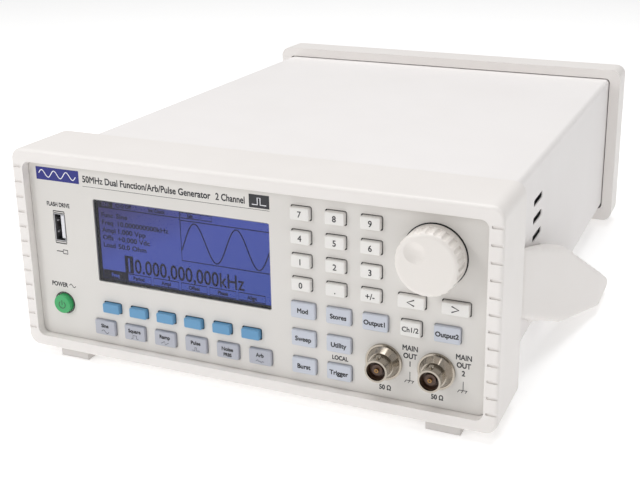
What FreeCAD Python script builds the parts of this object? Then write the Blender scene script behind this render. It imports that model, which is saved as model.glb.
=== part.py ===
"""Bench function generator: a shallow sheet-metal case between two moulded bezels.

Lengths are in millimetres.  X is the width, +Y the depth (the panel faces -Y) and +Z is up.
Sub-parts are drawn from the front bezel's rim (Y 0), the bezel's lower edge (Z 0) and the
middle of the width (X 0); settle() then moves each one so that the model's origin is under
the middle of the whole instrument, on the surface that its feet stand on.
"""
import FreeCAD, Part
import os
import re
import Sketcher

VECTOR = FreeCAD.Vector

# ---------------------------------------------------------------- driving dimensions
SIZES = {
    # overall
    "case_depth": 295, "bezel_width": 227, "bezel_height": 96,
    # bezels
    "front_bezel_depth": 34, "rear_bezel_depth": 21, "bezel_corner": 5.5, "bezel_edge": 1.6,
    "border_side": 6, "border_bottom": 5.6, "border_top": 5.8, "opening_corner": 3.5,
    "rear_lip": 6,
    "groove_count": 12, "groove_height": 1.2, "groove_depth": 0.6, "groove_width": 5,
    "groove_pitch": 7.13, "groove_bottom": 9.3,
    # feet
    "foot_height": 4.5, "foot_width": 15, "foot_length": 12, "foot_setback": 3, "foot_inset": 23.3,
    # front panel
    "panel_recess": 4, "panel_thickness": 3, "panel_gap": 0.2,
    # sheet-metal case
    "shell_inset": 6.75, "shell_bottom": 8, "shell_drop": 6, "sheet_gauge": 1.2, "shell_corner": 2.5,
    "shell_gap": 0.25, "seam_gap": 0.5, "flange_reach": 12, "tray_wall": 10,
    "vent_count": 5, "vent_length": 17, "vent_height": 3.2, "vent_pitch": 8.6, "vent_front": 79,
    "vent_top": 63.7, "vent_corner": 1.2,
    "slot_count": 8, "slot_front": 68, "slot_length": 40, "slot_width": 3, "slot_pitch": 9,
    # display
    "window_width": 87.2, "window_height": 39, "window_left": 39.5, "window_sill": 36.3,
    "window_thickness": 2.8, "window_gap": 0.15, "lcd_rim": 4,
    # keys: every cap slides in a panel hole and has a flange behind the panel
    "key_gap": 0.45, "menu_gap": 0.25, "key_corner": 0.9, "key_edge": 0.5,
    "key_flange": 0.9, "flange_gap": 0.3, "flange_thickness": 1,
    "soft_width": 9.6, "soft_height": 5.4, "soft_proud": 2.2, "soft_pitch": 14.17,
    "soft_left": 46.1, "soft_row": 24.2,
    "wave_width": 11.2, "wave_height": 7.6, "wave_proud": 1.5, "wave_pitch": 15.87,
    "wave_left": 41.7, "wave_row": 13.9,
    "digit_width": 9.5, "digit_height": 6.3, "digit_proud": 2.2, "digit_pitch": 15.4,
    "digit_right": 85.5, "digit_row": 50.9, "digit_rise": 10.33,
    "menu_width": 11.5, "menu_height": 7.6, "menu_proud": 1.6, "menu_pitch": 16.1,
    "menu_right": 85.1, "menu_row": 13.7, "menu_rise": 12.75,
    "arrow_width": 12.3, "arrow_height": 6.3, "arrow_proud": 2.2, "arrow_pitch": 18.4,
    "arrow_right": 19, "arrow_row": 51,
    "channel_width": 9.4, "channel_height": 7.3, "channel_proud": 2.2, "channel_right": 37.5,
    "output_right": 22.3, "output_row": 39.3,
    # power button
    "power_radius": 4.8, "power_gap": 0.3, "power_proud": 2.4, "power_travel": 2.5,
    "power_left": 19.5, "power_row": 22.4,
    # control knob
    "knob_radius": 13.2, "knob_height": 11.5, "knob_lift": 0.6, "knob_edge": 2,
    "knob_right": 28.3, "knob_row": 71.5,
    "flute_count": 24, "flute_radius": 1.4, "flute_bite": 0.6,
    "dimple_radius": 8.7, "dimple_depth": 1.2, "dimple_offset": 6.6,
    "shaft_radius": 3, "shaft_fit": 0.05, "shaft_seat": 8, "encoder_side": 13, "encoder_depth": 6,
    # output sockets (bayonet coaxial)
    "socket_right": 49.3, "socket_pitch": 22.55, "socket_row": 22.1, "socket_reach": 9.7,
    "barrel_radius": 4.8, "barrel_wall": 0.75, "thread_radius": 6.2, "socket_back": 14,
    "lug_radius": 1, "lug_rise": 0.7, "lug_setback": 3,
    "nut_rim": 1.7, "nut_shoulder": 0.9, "nut_wall": 0.6, "rim_depth": 1.1, "nut_length": 4,
    "thread_reach": 2, "nut_gap": 0.05, "insulator_radius": 2.4,
    "insulator_setback": 1.5, "contact_radius": 0.7, "contact_setback": 0.8,
    # memory-stick socket
    "usb_left": 20.5, "usb_row": 59.5, "usb_width": 5.7, "usb_height": 13.1, "usb_wall": 0.35,
    "usb_depth": 14, "usb_gap": 0.4, "tongue_thickness": 1.9, "tongue_height": 11.1,
    "tongue_setback": 1,
    # boards inside
    "board_thickness": 1.6, "travel_gap": 0.2, "board_margin": 4,
    "main_width": 180, "main_length": 120, "main_front": 50, "standoff": 6, "standoff_radius": 3,
    "sink_side": 26, "sink_base": 3, "sink_left": 30, "fin_thickness": 1.4, "fin_height": 9,
    "fin_pitch": 4.1, "chip_length": 14, "chip_width": 10, "chip_height": 1.6, "chip_right": 10,
    "chip_pitch": 22, "relay_width": 10, "relay_length": 20, "relay_height": 8, "relay_right": 45,
    "relay_pitch": 16, "capacitor_radius": 4, "capacitor_height": 11,
    "supply_width": 90, "supply_length": 60, "supply_rear": 42, "supply_parts": 26,
    "transformer_width": 32, "transformer_length": 28, "plate_thickness": 3, "plate_length": 40,
    "reservoir_radius": 7, "reservoir_height": 22, "reservoir_pitch": 16,
    # cooling fan
    "fan_side": 40, "fan_thickness": 14, "fan_wall": 1.5, "fan_hub": 11, "fan_tip_gap": 0.8,
    "fan_blades": 7, "blade_thickness": 1.4, "fan_left": 80, "fan_row": 52, "fan_pin": 1.5,
    "fan_pin_fit": 0.06,
    # rear sockets
    "rear_step": 15, "rear_plate": 1.6, "inlet_width": 27, "inlet_height": 20, "inlet_left": 40,
    "inlet_wall": 1.9, "rear_row": 30, "rear_socket_reach": 10, "rear_pitch": 20, "jack_rise": 32,
    "lan_side": 15, "lan_wall": 1.5, "data_wall": 3, "blade_width": 2, "blade_height": 4,
    "blade_pitch": 7, "earth_rise": 2,
    # tilt handle
    "pivot_back": 75, "pivot_row": 33, "pivot_radius": 8, "pivot_fit": 0.08, "pivot_reach": 4.6,
    "hub_radius": 15, "hub_reach": 5, "handle_gap": 0.5, "arm_front": 52, "ridge_back": 95,
    "ridge_reach": 12.7, "ridge_bottom": 9, "ridge_top": 48, "corner_back": 142, "corner_top": 19,
    "arm_wall": 13, "handle_reach": 22.2, "bar_length": 28.5, "bar_thickness": 8, "bar_drop": 1,
    "tip_height": 5.5, "tip_wall": 9, "nose_wall": 3, "nose_bottom": 28, "nose_top": 61,
    # screws
    "screw_radius": 1.5, "screw_head": 3, "head_thickness": 1.8, "screw_length": 6,
    "screw_inset": 6.5, "screw_front": 50, "screw_rear": 45,
}

# Lengths that follow from the driving ones.
PANEL_WIDTH = "(bezel_width - 2 * border_side)"
PANEL_HEIGHT = "(bezel_height - border_bottom - border_top)"
PANEL_MIDDLE = f"(border_bottom + {PANEL_HEIGHT} / 2)"
PANEL_BACK = "(panel_recess + panel_thickness)"
LEFT = "(-bezel_width / 2)"
RIGHT = "(bezel_width / 2)"
SHELL_WIDTH = "(bezel_width - 2 * shell_inset)"
SHELL_SIDE = f"({SHELL_WIDTH} / 2)"
SHELL_TOP = "(bezel_height - shell_drop)"
SHELL_HEIGHT = f"({SHELL_TOP} - shell_bottom)"
REAR_FACE = "(case_depth - rear_step)"
REAR_INSIDE = f"({REAR_FACE} - rear_plate)"
BOARD_SETBACK = "(flange_gap + flange_thickness + power_travel + travel_gap)"
BOARD_FRONT = f"({PANEL_BACK} + {BOARD_SETBACK})"
BOARD_BACK = f"({BOARD_FRONT} + board_thickness)"
SHELL_FRONT = f"({BOARD_BACK} + shell_gap)"
CENTRE_SHIFT = "((knob_height - panel_recess - case_depth) / 2)"

doc = FreeCAD.newDocument("function_generator")
sheet = doc.addObject("Spreadsheet::Sheet", "size")
for row, (alias, value) in enumerate(SIZES.items(), start=1):
    sheet.set(f"A{row}", alias)
    sheet.set(f"B{row}", str(value))
    sheet.setAlias(f"B{row}", alias)
doc.recompute()

nodes = []


# ---------------------------------------------------------------- drawing helpers
def sized(formula):
    """The formula with each driving dimension's name pointing at its cell."""
    return re.sub(r"[a-z][a-z_]+", lambda word: f"size.{word.group()}" if word.group() in SIZES
                  else word.group(), str(formula))


def link(target, setting, formula):
    """Bind one property of an object, or one constraint of a sketch, to the sheet."""
    target.setExpression(setting, sized(formula))


def number(formula):
    """A formula's present value."""
    return float(sheet.evalExpression(sized(formula)))


def settle(piece, label, x="0", y="0", z="0"):
    """Name a finished sub-part and place it, from the instrument's front rim, in the model."""
    piece.Label = label
    link(piece, "Placement.Base.x", x)
    link(piece, "Placement.Base.y", f"{y} + {CENTRE_SHIFT}")
    link(piece, "Placement.Base.z", f"{z} + foot_height")
    nodes.append(piece)
    return piece


def put(piece, x, y, z):
    """Place a part primitive by its formulas."""
    link(piece, "Placement.Base.x", x)
    link(piece, "Placement.Base.y", y)
    link(piece, "Placement.Base.z", z)
    return piece


def block(width, depth, height, x="0", y="0", z="0"):
    """A box centred on x, reaching back from y and up from z."""
    box = doc.addObject("Part::Box", "block")
    link(box, "Length", width)
    link(box, "Width", depth)
    link(box, "Height", height)
    return put(box, f"{x} - ({width}) / 2", y, z)


TURNS = {"X": FreeCAD.Rotation(VECTOR(0, 1, 0), 90), "Y": FreeCAD.Rotation(VECTOR(1, 0, 0), -90),
         "Z": FreeCAD.Rotation()}


def rod(radius, length, axis, x="0", y="0", z="0"):
    """A cylinder that starts at x, y, z and runs along +axis."""
    cylinder = doc.addObject("Part::Cylinder", "rod")
    cylinder.Placement = FreeCAD.Placement(VECTOR(), TURNS[axis])
    link(cylinder, "Radius", radius)
    link(cylinder, "Height", length)
    return put(cylinder, x, y, z)


def wedge(front, back, start, end):
    """A bar along Y between two rectangles, each given as (low x, high x, low z, high z)."""
    bar = doc.addObject("Part::Wedge", "wedge")
    for setting, formula in zip(("Xmin", "Xmax", "Zmin", "Zmax"), front):
        link(bar, setting, formula)
    for setting, formula in zip(("X2min", "X2max", "Z2min", "Z2max"), back):
        link(bar, setting, formula)
    link(bar, "Ymin", start)
    link(bar, "Ymax", end)
    return bar


def fused(pieces):
    whole = doc.addObject("Part::MultiFuse", "fused")
    whole.Shapes = pieces
    whole.Refine = True
    return whole


def carved(base, tools):
    result = doc.addObject("Part::Cut", "carved")
    result.Base = base
    result.Tool = tools[0] if len(tools) == 1 else fused(tools)
    return result


def grouped(pieces):
    """Separate solids that share one node."""
    group = doc.addObject("Part::Compound", "group")
    group.Links = pieces
    return group


def new_body(name):
    return doc.addObject("PartDesign::Body", name)


def plane_of(body, role):
    return next(item for item in body.Origin.OriginFeatures if item.Role == role)


def sketch_on(body, x="0", y="0", z="0", role="XZ_Plane"):
    """A sketch parallel to the panel (or, for YZ_Plane, to the case's side) through x, y, z."""
    sketch = body.newObject("Sketcher::SketchObject", "outline")
    sketch.AttachmentSupport = (plane_of(body, role), "")
    sketch.MapMode = "FlatFace"
    across, up, out = (x, z, f"-({y})") if role == "XZ_Plane" else (y, z, x)
    link(sketch, "AttachmentOffset.Base.x", across)
    link(sketch, "AttachmentOffset.Base.y", up)
    link(sketch, "AttachmentOffset.Base.z", out)
    return sketch


def draw_rectangle(sketch, width, height, corner):
    """A rectangle with round corners, centred on the sketch's origin."""
    w, d, r = number(width) / 2, number(height) / 2, number(corner)
    ends = [(-w + r, -d), (w - r, -d), (w, -d + r), (w, d - r),
            (w - r, d), (-w + r, d), (-w, d - r), (-w, -d + r)]
    middles = [(w - r, -d + r), (w - r, d - r), (-w + r, d - r), (-w + r, -d + r)]
    quarter = 1.5707963267948966
    for side in range(4):
        start, stop = ends[2 * side], ends[2 * side + 1]
        sketch.addGeometry(Part.LineSegment(VECTOR(*start, 0), VECTOR(*stop, 0)), False)
        circle = Part.Circle(VECTOR(*middles[side], 0), VECTOR(0, 0, 1), r)
        sketch.addGeometry(Part.ArcOfCircle(circle, (side - 1) * quarter, side * quarter), False)
    rules = []
    for side in range(4):
        line, arc, following = 2 * side, 2 * side + 1, (2 * side + 2) % 8
        rules.append(Sketcher.Constraint("Tangent", line, 2, arc, 1))
        rules.append(Sketcher.Constraint("Tangent", arc, 2, following, 1))
        rules.append(Sketcher.Constraint("Vertical" if side % 2 else "Horizontal", line))
    rules += [Sketcher.Constraint("Equal", 1, arc) for arc in (3, 5, 7)]
    rules.append(Sketcher.Constraint("Symmetric", 7, 3, 3, 3, -1, 1))
    sketch.addConstraint(rules)
    for kind, place, formula in (("Radius", (1,), corner), ("DistanceX", (6, 1, 2, 1), width),
                                 ("DistanceY", (0, 1, 4, 1), height)):
        index = sketch.addConstraint(Sketcher.Constraint(kind, *place, number(formula)))
        link(sketch, f"Constraints[{index}]", formula)


def draw_circle(sketch, radius):
    sketch.addGeometry(Part.Circle(VECTOR(), VECTOR(0, 0, 1), number(radius)), False)
    sketch.addConstraint(Sketcher.Constraint("Coincident", 0, 3, -1, 1))
    index = sketch.addConstraint(Sketcher.Constraint("Radius", 0, number(radius)))
    link(sketch, f"Constraints[{index}]", radius)


def draw(sketch, outline):
    """Draw (radius,) as a circle and (width, height, corner) as a round-cornered rectangle."""
    if len(outline) == 1:
        draw_circle(sketch, *outline)
    else:
        draw_rectangle(sketch, *outline)


def pad(body, outline, length, x="0", y="0", z="0"):
    """Add a prism that reaches back from y."""
    sketch = sketch_on(body, x, y, z)
    draw(sketch, outline)
    feature = body.newObject("PartDesign::Pad", "pad")
    feature.Profile = sketch
    feature.Reversed = True
    link(feature, "Length", length)
    return feature


def pocket(body, outline, length, x="0", y="0", z="0", role="XZ_Plane"):
    """Cut a prism that reaches back from y (or inwards from a plane on the right side)."""
    sketch = sketch_on(body, x, y, z, role)
    draw(sketch, outline)
    feature = body.newObject("PartDesign::Pocket", "pocket")
    feature.Profile = sketch
    feature.Refine = False
    link(feature, "Length", length)
    return feature


def repeat(body, feature, direction, count, pitch, backwards=False):
    """Repeat a feature along one axis of a plane of the body."""
    pattern = body.newObject("PartDesign::LinearPattern", "pattern")
    pattern.Originals = [feature]
    pattern.Direction = (feature.Profile[0], [direction])
    pattern.Reversed = backwards
    pattern.Mode = "Spacing"
    link(pattern, "Occurrences", count)
    link(pattern, "Offset", pitch)
    body.Tip = pattern
    return pattern


def round_edges(body, radius, wanted):
    """Fillet the edges of the body's tip for which wanted(bounding box) is true."""
    doc.recompute()
    base = body.Tip
    names = [f"Edge{i}" for i, edge in enumerate(base.Shape.Edges, start=1)
             if wanted(edge.BoundBox)]
    fillet = body.newObject("PartDesign::Fillet", "fillet")
    fillet.Base = (base, names)
    link(fillet, "Radius", radius)
    return fillet


def at_depth(depth):
    """Picks the edges that lie in the plane of one depth."""
    level = number(depth)
    return lambda box: abs(box.YMin - level) < 1e-4 and abs(box.YMax - level) < 1e-4


# ---------------------------------------------------------------- keys and buttons
# Each family: (width and height of its hole, how far it stands proud, gap round the cap).
SOFT = ("soft_width", "soft_height", "soft_proud", "key_gap")
WAVE = ("wave_width", "wave_height", "wave_proud", "menu_gap")
DIGIT = ("digit_width", "digit_height", "digit_proud", "key_gap")
MENU = ("menu_width", "menu_height", "menu_proud", "menu_gap")
ARROW = ("arrow_width", "arrow_height", "arrow_proud", "key_gap")
CHANNEL = ("channel_width", "channel_height", "channel_proud", "key_gap")

WAVES = ("sine", "square", "ramp", "pulse", "noise", "arb")
DIGIT_ROWS = (("0", "point", "sign"), ("1", "2", "3"), ("4", "5", "6"), ("7", "8", "9"))
MENU_ROWS = (("burst", "trigger"), ("sweep", "utility"), ("mod", "stores", "output_1"))


def key_places():
    """Every key as (name, family, x, z) on the panel."""
    for i in range(6):
        yield f"soft_key_{i + 1}", SOFT, f"{LEFT} + soft_left + {i} * soft_pitch", "soft_row"
    for i, wave in enumerate(WAVES):
        yield f"key_{wave}", WAVE, f"{LEFT} + wave_left + {i} * wave_pitch", "wave_row"
    for rank, names in enumerate(DIGIT_ROWS):
        for i, digit in enumerate(names):
            yield (f"key_{digit}", DIGIT, f"{RIGHT} - digit_right + {i} * digit_pitch",
                   f"digit_row + {rank} * digit_rise")
    for rank, names in enumerate(MENU_ROWS):
        for i, menu in enumerate(names):
            yield (f"key_{menu}", MENU, f"{RIGHT} - menu_right + {i} * menu_pitch",
                   f"menu_row + {rank} * menu_rise")
    yield "key_left", ARROW, f"{RIGHT} - arrow_right - arrow_pitch", "arrow_row"
    yield "key_right", ARROW, f"{RIGHT} - arrow_right", "arrow_row"
    yield "key_channel", CHANNEL, f"{RIGHT} - channel_right", "output_row"
    yield "key_output_2", MENU, f"{RIGHT} - output_right", "output_row"


def make_key(name, family, x, z):
    """A cap in its panel hole, with the flange behind the panel that keeps it in."""
    width, height, proud, gap = family
    body = new_body(name)
    cap = (f"{width} - 2 * {gap}", f"{height} - 2 * {gap}", f"key_corner - {gap} / 2")
    flange = (f"{width} + 2 * key_flange", f"{height} + 2 * key_flange", "key_corner")
    pad(body, cap, f"{proud} + panel_thickness + flange_gap", y=f"-{proud}")
    pad(body, flange, "flange_thickness", y="panel_thickness + flange_gap")
    round_edges(body, "key_edge", at_depth(f"-{proud}"))
    settle(body, name, x, "panel_recess", z)


def make_power_button():
    body = new_body("power_button")
    pad(body, ("power_radius - power_gap",), "power_proud + panel_thickness + flange_gap",
        y="-power_proud")
    pad(body, ("power_radius + key_flange",), "flange_thickness", y="panel_thickness + flange_gap")
    round_edges(body, "key_edge", at_depth("-power_proud"))
    settle(body, "power_button", f"{LEFT} + power_left", "panel_recess", "power_row")


# ---------------------------------------------------------------- control knob
KNOB_X = f"{RIGHT} - knob_right"
KNOB_PLACE = (KNOB_X, "panel_recess", "knob_row")


def make_knob():
    """A fluted knob with a finger dimple, pushed on the encoder's shaft."""
    body = new_body("control_knob")
    pad(body, ("knob_radius",), "knob_height - knob_lift", y="-knob_height")
    round_edges(body, "knob_edge", at_depth("-knob_height"))
    flute = pocket(body, ("flute_radius",), "knob_height - 2 * knob_edge", y="-knob_height",
                   x="knob_radius + flute_radius - flute_bite")
    ring = body.newObject("PartDesign::PolarPattern", "flutes")
    ring.Originals = [flute]
    ring.Axis = (plane_of(body, "Y_Axis"), [""])
    link(ring, "Occurrences", "flute_count")
    body.Tip = ring
    dimple = body.newObject("PartDesign::SubtractiveSphere", "dimple")
    link(dimple, "Radius", "dimple_radius")
    put(dimple, "-dimple_offset * cos(45)", "-knob_height + dimple_depth - dimple_radius",
        "dimple_offset * sin(45)")
    pocket(body, ("shaft_radius + shaft_fit",), "shaft_seat", y="-knob_lift - shaft_seat")
    settle(body, "control_knob", *KNOB_PLACE)


def make_shaft():
    body = new_body("encoder_shaft")
    length = f"shaft_seat + knob_lift + {BOARD_BACK} - panel_recess"
    pad(body, ("shaft_radius",), length, y="-knob_lift - shaft_seat")
    settle(body, "encoder_shaft", *KNOB_PLACE)


# ---------------------------------------------------------------- front bezel and panel
WINDOW_X = f"{LEFT} + window_left + window_width / 2"
WINDOW_Z = "window_sill + window_height / 2"
SOCKET_XS = (f"{RIGHT} - socket_right", f"{RIGHT} - socket_right + socket_pitch")
USB_X = f"{LEFT} + usb_left"


def make_front_bezel():
    """A moulded frame: the panel seats in its front and the sheet-metal shell in its back."""
    body = new_body("front_bezel")
    pad(body, ("bezel_width", "bezel_height", "bezel_corner"), "front_bezel_depth",
        z="bezel_height / 2")
    round_edges(body, "bezel_edge", lambda box: box.YMax < number("bezel_edge") / 2)
    pocket(body, (PANEL_WIDTH, PANEL_HEIGHT, "opening_corner"), PANEL_BACK, z=PANEL_MIDDLE)
    pocket(body, (f"{SHELL_WIDTH} + 2 * shell_gap", f"{SHELL_HEIGHT} + 2 * shell_gap",
                  "shell_corner"), "front_bezel_depth", y=PANEL_BACK,
           z=f"shell_bottom + {SHELL_HEIGHT} / 2")
    for side in (LEFT, RIGHT):
        groove = pocket(body, ("2 * groove_width", "groove_height", "groove_height / 3"),
                        "groove_depth", x=side, z="groove_bottom")
        repeat(body, groove, "V_Axis", "groove_count", "groove_pitch")
    settle(body, "front_bezel")


def make_front_panel():
    body = new_body("front_panel")
    pad(body, (f"{PANEL_WIDTH} - 2 * panel_gap", f"{PANEL_HEIGHT} - 2 * panel_gap",
               "opening_corner"), "panel_thickness", z=PANEL_MIDDLE)
    for _, (width, height, *_), x, z in key_places():
        pocket(body, (width, height, "key_corner"), "panel_thickness", x=x, z=z)
    pocket(body, ("window_width", "window_height", "key_corner"), "panel_thickness",
           x=WINDOW_X, z=WINDOW_Z)
    pocket(body, ("power_radius",), "panel_thickness", x=f"{LEFT} + power_left", z="power_row")
    pocket(body, ("usb_width + 2 * usb_gap", "usb_height + 2 * usb_gap", "key_corner"),
           "panel_thickness", x=USB_X, z="usb_row")
    pocket(body, ("shaft_radius + knob_lift",), "panel_thickness", x=KNOB_X, z="knob_row")
    for x in SOCKET_XS:
        pocket(body, ("thread_radius + panel_gap",), "panel_thickness", x=x, z="socket_row")
    settle(body, "front_panel", y="panel_recess")


# ---------------------------------------------------------------- display
def make_display():
    window = new_body("display_window")
    pad(window, ("window_width - 2 * window_gap", "window_height - 2 * window_gap",
                 "key_corner"), "window_thickness")
    settle(window, "display_window", WINDOW_X, f"{PANEL_BACK} - window_thickness", WINDOW_Z)
    module = new_body("lcd_module")
    pad(module, ("window_width + 2 * lcd_rim", "window_height + 2 * lcd_rim", "key_corner"),
        BOARD_SETBACK)
    settle(module, "lcd_module", WINDOW_X, PANEL_BACK, WINDOW_Z)


# ---------------------------------------------------------------- front sockets
def coaxial_jack(x, z, face, reach, back):
    """A bayonet jack: barrel with two lugs in front of the face, threaded body behind it."""
    mouth = f"({face} - {reach})"
    bore_length = f"({reach} - thread_reach)"
    shell = fused([
        rod("barrel_radius", f"{reach} + panel_thickness", "Y", x, mouth, z),
        rod("thread_radius", f"thread_reach + {back}", "Y", x, f"{face} - thread_reach", z),
        rod("lug_radius", "2 * (barrel_radius + lug_rise)", "Z", x, f"{mouth} + lug_setback",
            f"{z} - barrel_radius - lug_rise"),
    ])
    jack = carved(shell, [rod("barrel_radius - barrel_wall", bore_length, "Y", x, mouth, z)])
    core = fused([
        rod("insulator_radius", f"{bore_length} - insulator_setback", "Y", x,
            f"{mouth} + insulator_setback", z),
        rod("contact_radius", f"{bore_length} - contact_setback", "Y", x,
            f"{mouth} + contact_setback", z),
    ])
    return jack, core


def dress_nut(x, z):
    """A round flanged nut: it screws on the thread and tapers down to the jack's barrel."""
    taper = doc.addObject("Part::Cone", "taper")
    taper.Placement = FreeCAD.Placement(VECTOR(), TURNS["Y"])
    link(taper, "Radius1", "barrel_radius + nut_wall")
    link(taper, "Radius2", "thread_radius + nut_shoulder")
    link(taper, "Height", "nut_length - rim_depth")
    put(taper, x, "panel_recess - nut_length", z)
    rim = rod("thread_radius + nut_rim", "rim_depth", "Y", x, "panel_recess - rim_depth", z)
    return carved(fused([rim, taper]), [
        rod("thread_radius + nut_gap", "thread_reach + nut_gap", "Y", x,
            "panel_recess - thread_reach - nut_gap", z),
        rod("barrel_radius + nut_gap", "nut_length", "Y", x, "panel_recess - nut_length", z)])


def make_output_sockets():
    jacks, cores, nuts = [], [], []
    for x in SOCKET_XS:
        jack, core = coaxial_jack(x, "socket_row", "panel_recess", "socket_reach", "socket_back")
        jacks.append(jack)
        cores.append(core)
        nuts.append(dress_nut(x, "socket_row"))
    settle(grouped(jacks), "output_sockets")
    settle(grouped(cores), "output_socket_cores")
    settle(grouped(nuts), "output_socket_nuts")


def make_usb_socket():
    """A pressed shell with a tongue that carries the contacts."""
    outer = block("usb_width", "usb_depth", "usb_height", USB_X, "panel_recess",
                  "usb_row - usb_height / 2")
    hollow = block("usb_width - 2 * usb_wall", "usb_depth - 2 * usb_wall",
                   "usb_height - 2 * usb_wall", USB_X, "panel_recess",
                   "usb_row - usb_height / 2 + usb_wall")
    tongue = block("tongue_thickness", "usb_depth - tongue_setback", "tongue_height",
                   f"{USB_X} + tongue_thickness / 2", "panel_recess + tongue_setback",
                   "usb_row - tongue_height / 2")
    settle(fused([carved(outer, [hollow]), tongue]), "usb_socket")


# ---------------------------------------------------------------- keypad board
def make_keypad_board():
    """The board behind the panel, its posts, and the body of the knob's rotary encoder."""
    width = f"({PANEL_WIDTH} - 2 * board_margin)"
    height = f"({PANEL_HEIGHT} - 2 * board_margin)"
    plate = block(width, "board_thickness", height, "0", BOARD_FRONT,
                  "border_bottom + board_margin")
    posts = [rod("standoff_radius", BOARD_SETBACK, "Y", f"{side} * ({width} / 2 - standoff_radius)",
                 PANEL_BACK, z)
             for side in (-1, 1)
             for z in ("border_bottom + board_margin + standoff_radius",
                       f"border_bottom + {PANEL_HEIGHT} - board_margin - standoff_radius")]
    encoder = block("encoder_side", "encoder_depth", "encoder_side", KNOB_X,
                    f"{PANEL_BACK} + flange_gap", "knob_row - encoder_side / 2")
    holes = [rod("thread_radius + 2 * panel_gap", "board_thickness", "Y", x, BOARD_FRONT,
                 "socket_row") for x in SOCKET_XS]
    holes.append(rod("shaft_radius + shaft_fit", "2 * encoder_depth", "Y", KNOB_X, PANEL_BACK,
                     "knob_row"))
    holes.append(block("usb_width + 2 * usb_gap", "board_thickness",
                       "usb_height + 2 * usb_gap", USB_X, BOARD_FRONT,
                       "usb_row - usb_height / 2 - usb_gap"))
    settle(carved(fused([plate, encoder] + posts), holes), "keypad_board")


# ---------------------------------------------------------------- sheet-metal case
def make_top_cover():
    """Top, sides and two narrow inward flanges, folded from one sheet."""
    body = new_body("folded_sheet")
    height = f"({SHELL_HEIGHT} - sheet_gauge)"
    length = f"({REAR_INSIDE} - {SHELL_FRONT})"
    middle = f"shell_bottom + sheet_gauge + {height} / 2"
    pad(body, (SHELL_WIDTH, height, "shell_corner"), length, y=SHELL_FRONT, z=middle)
    pocket(body, (f"{SHELL_WIDTH} - 2 * sheet_gauge", f"{height} - 2 * sheet_gauge",
                  "shell_corner - sheet_gauge"), length, y=SHELL_FRONT, z=middle)
    pocket(body, (f"{SHELL_WIDTH} - 2 * flange_reach", "3 * sheet_gauge", "sheet_gauge / 2"),
           length, y=SHELL_FRONT, z="shell_bottom + sheet_gauge")
    vent = pocket(body, ("vent_length", "vent_height", "vent_corner"), SHELL_WIDTH,
                  x=SHELL_SIDE, y="vent_front + vent_length / 2", z="shell_bottom + vent_top",
                  role="YZ_Plane")
    repeat(body, vent, "V_Axis", "vent_count", "vent_pitch", backwards=True)
    holes = [rod("screw_radius + shaft_fit", "4 * sheet_gauge", "Z", x, y, "shell_bottom")
             for x, y in TRAY_SCREWS]
    settle(carved(body, holes), "top_cover")


TRAY_SCREWS = [(f"{side} * ({SHELL_SIDE} - screw_inset)", y)
               for side in (-1, 1) for y in ("screw_front", "(case_depth - screw_rear)")]
REAR_SCREWS = [(f"{side} * ({SHELL_SIDE} - rear_lip - screw_inset)", z)
               for side in (-1, 1)
               for z in ("(shell_bottom + rear_lip + screw_inset)",
                         f"({SHELL_TOP} - rear_lip - screw_inset)")]
TRAY_TOP = "(shell_bottom + sheet_gauge)"


def make_base_tray():
    """The bottom plate, its two stiffening walls and the posts that carry the boards."""
    length = f"({REAR_INSIDE} - {SHELL_FRONT})"
    wall_x = f"({SHELL_SIDE} - flange_reach - shell_gap - sheet_gauge / 2)"
    solids = [block(f"{SHELL_WIDTH} - 2 * shell_corner", length, "sheet_gauge", "0",
                    SHELL_FRONT, "shell_bottom")]
    for side in (-1, 1):
        solids.append(block("sheet_gauge", length, "tray_wall", f"{side} * {wall_x}",
                            SHELL_FRONT, "shell_bottom"))
    for x, y in MAIN_POSTS + SUPPLY_POSTS:
        solids.append(rod("standoff_radius", "standoff", "Z", x, y, TRAY_TOP))
    cuts = [block("slot_length", "slot_width", "3 * sheet_gauge", f"{side} * slot_length",
                  f"slot_front + {i} * slot_pitch", "shell_bottom - sheet_gauge")
            for side in (-1, 1) for i in range(int(number("slot_count")))]
    cuts += [rod("screw_radius + shaft_fit", "2 * sheet_gauge", "Z", x, y,
                 "shell_bottom - sheet_gauge / 2") for x, y in TRAY_SCREWS]
    settle(carved(fused(solids), cuts), "base_tray")


# ---------------------------------------------------------------- boards inside
MAIN_POSTS = [(f"{side} * (main_width / 2 - 2 * standoff_radius)", y) for side in (-1, 1)
              for y in ("main_front + 2 * standoff_radius",
                        "main_front + main_length - 2 * standoff_radius")]
SUPPLY_X = f"({LEFT} + shell_inset + supply_width / 2 + flange_reach + 2 * standoff_radius)"
SUPPLY_FRONT = f"({REAR_INSIDE} - supply_rear - supply_length)"
SUPPLY_POSTS = [(f"{SUPPLY_X} + {side} * (supply_width / 2 - 2 * standoff_radius)", y)
                for side in (-1, 1)
                for y in (f"{SUPPLY_FRONT} + 2 * standoff_radius",
                          f"{SUPPLY_FRONT} + supply_length - 2 * standoff_radius")]
BOARD_LEVEL = f"({TRAY_TOP} + standoff)"
PARTS_LEVEL = f"({BOARD_LEVEL} + board_thickness)"


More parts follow.
